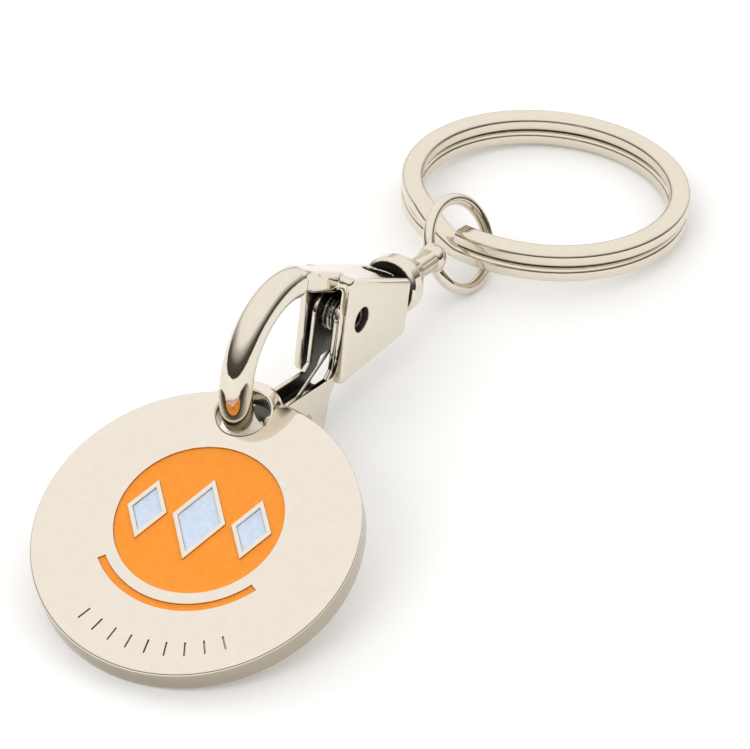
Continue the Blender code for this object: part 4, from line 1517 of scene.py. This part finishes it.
def floor_finish():
    """White paper that looks a little lighter, also in the metal, and keeps its shadows."""
    material, nodes, sockets = new_finish("white_paper")
    place = nodes.add("ShaderNodeTexCoord", {}, {}, "Object")
    fibres = nodes.noise(place, FIBRE_SCALE, 3.0)
    nodes.feed(sockets["Base Color"], nodes.mixed(fibres, PAPER_DARK, PAPER_LIGHT))
    nodes.feed(sockets["Roughness"], 0.9)
    sockets["Specular IOR Level"].default_value = 0.0
    seen = nodes.add("ShaderNodeLightPath", {}, {}, "Is Camera Ray")
    for other in ("Is Glossy Ray", "Is Transmission Ray"):
        seen += nodes.add("ShaderNodeLightPath", {}, {}, other)
    nodes.feed(sockets["Emission Color"], nodes.mixed(seen, NO_LIFT, FLOOR_LIFT))
    sockets["Emission Strength"].default_value = 1.0
    return material


# Brightness of the tent by height: dim near the horizon, bright overhead
TENT_STOPS = ((0.0, 0.02), (0.22, 0.06), (0.42, 0.45), (0.6, 0.95), (0.85, 1.0))
TENT_LOW = (0.035, 0.028, 0.018)
TENT_HIGH = (1.0, 0.985, 0.97)
TENT_STRENGTH = 1.10

# The tent is brighter far off and dimmer behind the camera, in full from these shares of the way
FAR_RISE = 0.40
FAR_FULL = 0.9
NEAR_DROP = 0.06
NEAR_FULL = 0.7

# The lamp beside the keyring, which only lights it and isn't mirrored in the metal
LAMP_PLACE = (-0.38, 0.05, 0.33)
LAMP_SIZE = 0.25
LAMP_POWER = 0.50


def studio_world():
    """A white tent: bright overhead and far off, dim and warm near the horizon by the camera."""
    studio = settings().studio
    world = bpy.data.worlds.new("studio")
    bpy.context.scene.world = world
    world.use_nodes = True
    nodes = Nodes(world.node_tree)
    background = world.node_tree.nodes["Background"].inputs
    direction = nodes.add("ShaderNodeTexCoord", {}, {}, "Generated")
    height = nodes.add("ShaderNodeSeparateXYZ", {}, {0: direction}, "Z")
    heading = (math.cos(studio.camera_heading), math.sin(studio.camera_heading), 0.0)
    ahead = nodes.add(
        "ShaderNodeVectorMath", {"operation": "DOT_PRODUCT"}, {0: direction, 1: heading}, "Value"
    )
    far = nodes.band(ahead, 0.0, FAR_FULL)
    near = nodes.band(0.0 - ahead, 0.0, NEAR_FULL)
    place = height + far * FAR_RISE - near * NEAR_DROP
    level = nodes.add("ShaderNodeValToRGB", {"stops": TENT_STOPS}, {"Fac": place}, "Color")
    shade = nodes.add("ShaderNodeSeparateColor", {}, {0: level}, 0)
    nodes.feed(background["Color"], nodes.mixed(shade, TENT_LOW, TENT_HIGH))
    background["Strength"].default_value = TENT_STRENGTH


def side_lamp():
    """A soft lamp that is aimed at the keyring's middle."""
    data = bpy.data.lights.new("side_lamp", "AREA")
    data.shape = "RECTANGLE"
    data.size = LAMP_SIZE
    data.size_y = LAMP_SIZE
    data.energy = LAMP_POWER
    lamp = linked("side_lamp", data)
    lamp.location = LAMP_PLACE
    lamp.rotation_euler = (-Vector(LAMP_PLACE)).to_track_quat("-Z", "Y").to_euler()
    lamp.visible_glossy = False


def studio_camera():
    """The camera at the photograph's viewing angle."""
    studio = settings().studio
    data = bpy.data.cameras.new("camera")
    data.sensor_width = 36.0
    data.lens = studio.focal
    data.clip_start = 0.01
    data.clip_end = 10.0
    camera = linked("camera", data)
    camera.location = (studio.camera_x, studio.camera_y, studio.camera_z)
    level = math.pi / 2 - studio.camera_down
    camera.rotation_euler = (level, 0.0, studio.camera_heading - math.pi / 2)
    bpy.context.scene.camera = camera


class KEYRING_OT_stage(bpy.types.Operator):
    """Set up the floor, the studio's light and the camera"""

    bl_idname = "keyring.stage"
    bl_label = "Stage"

    def execute(self, context):
        half = settings().studio.floor_half
        work = bmesh.new()
        bmesh.ops.create_grid(work, x_segments=1, y_segments=1, size=half)
        floor = holder_of(work, "floor")
        floor.data.materials.append(floor_finish())
        studio_world()
        side_lamp()
        studio_camera()
        context.scene.view_settings.view_transform = "Standard"
        return {"FINISHED"}


class KEYRING_PT_panel(bpy.types.Panel):
    """Lists the keyring's pieces"""

    bl_idname = "KEYRING_PT_panel"
    bl_label = "Coin keyring"
    bl_space_type = "VIEW_3D"
    bl_region_type = "UI"
    bl_category = "Keyring"

    def draw(self, context):
        for operator in PIECE_OPERATORS:
            self.layout.operator(operator.bl_idname)


PIECE_OPERATORS = (
    KEYRING_OT_coin,
    KEYRING_OT_enamel,
    KEYRING_OT_hook,
    KEYRING_OT_rivet,
    KEYRING_OT_gate,
    KEYRING_OT_spring,
    KEYRING_OT_swivel,
    KEYRING_OT_split_ring,
    KEYRING_OT_stage,
)
GROUPS = (
    CoinSizes,
    HookSizes,
    GateSizes,
    SwivelSizes,
    RingSizes,
    Finishes,
    StudioSizes,
    KeyringSettings,
)
CLASSES = GROUPS + PIECE_OPERATORS + (KEYRING_PT_panel,)


def register():
    for item in CLASSES:
        bpy.utils.register_class(item)
    bpy.types.Scene.coin_keyring = PointerProperty(type=KeyringSettings)


def unregister():
    del bpy.types.Scene.coin_keyring
    for item in reversed(CLASSES):
        bpy.utils.unregister_class(item)


def main():
    register()
    bpy.ops.keyring.coin()
    bpy.ops.keyring.enamel()
    bpy.ops.keyring.hook()
    bpy.ops.keyring.rivet()
    bpy.ops.keyring.gate()
    bpy.ops.keyring.spring()
    bpy.ops.keyring.swivel()
    bpy.ops.keyring.split_ring()
    bpy.ops.keyring.stage()


if __name__ == "__main__":
    main()
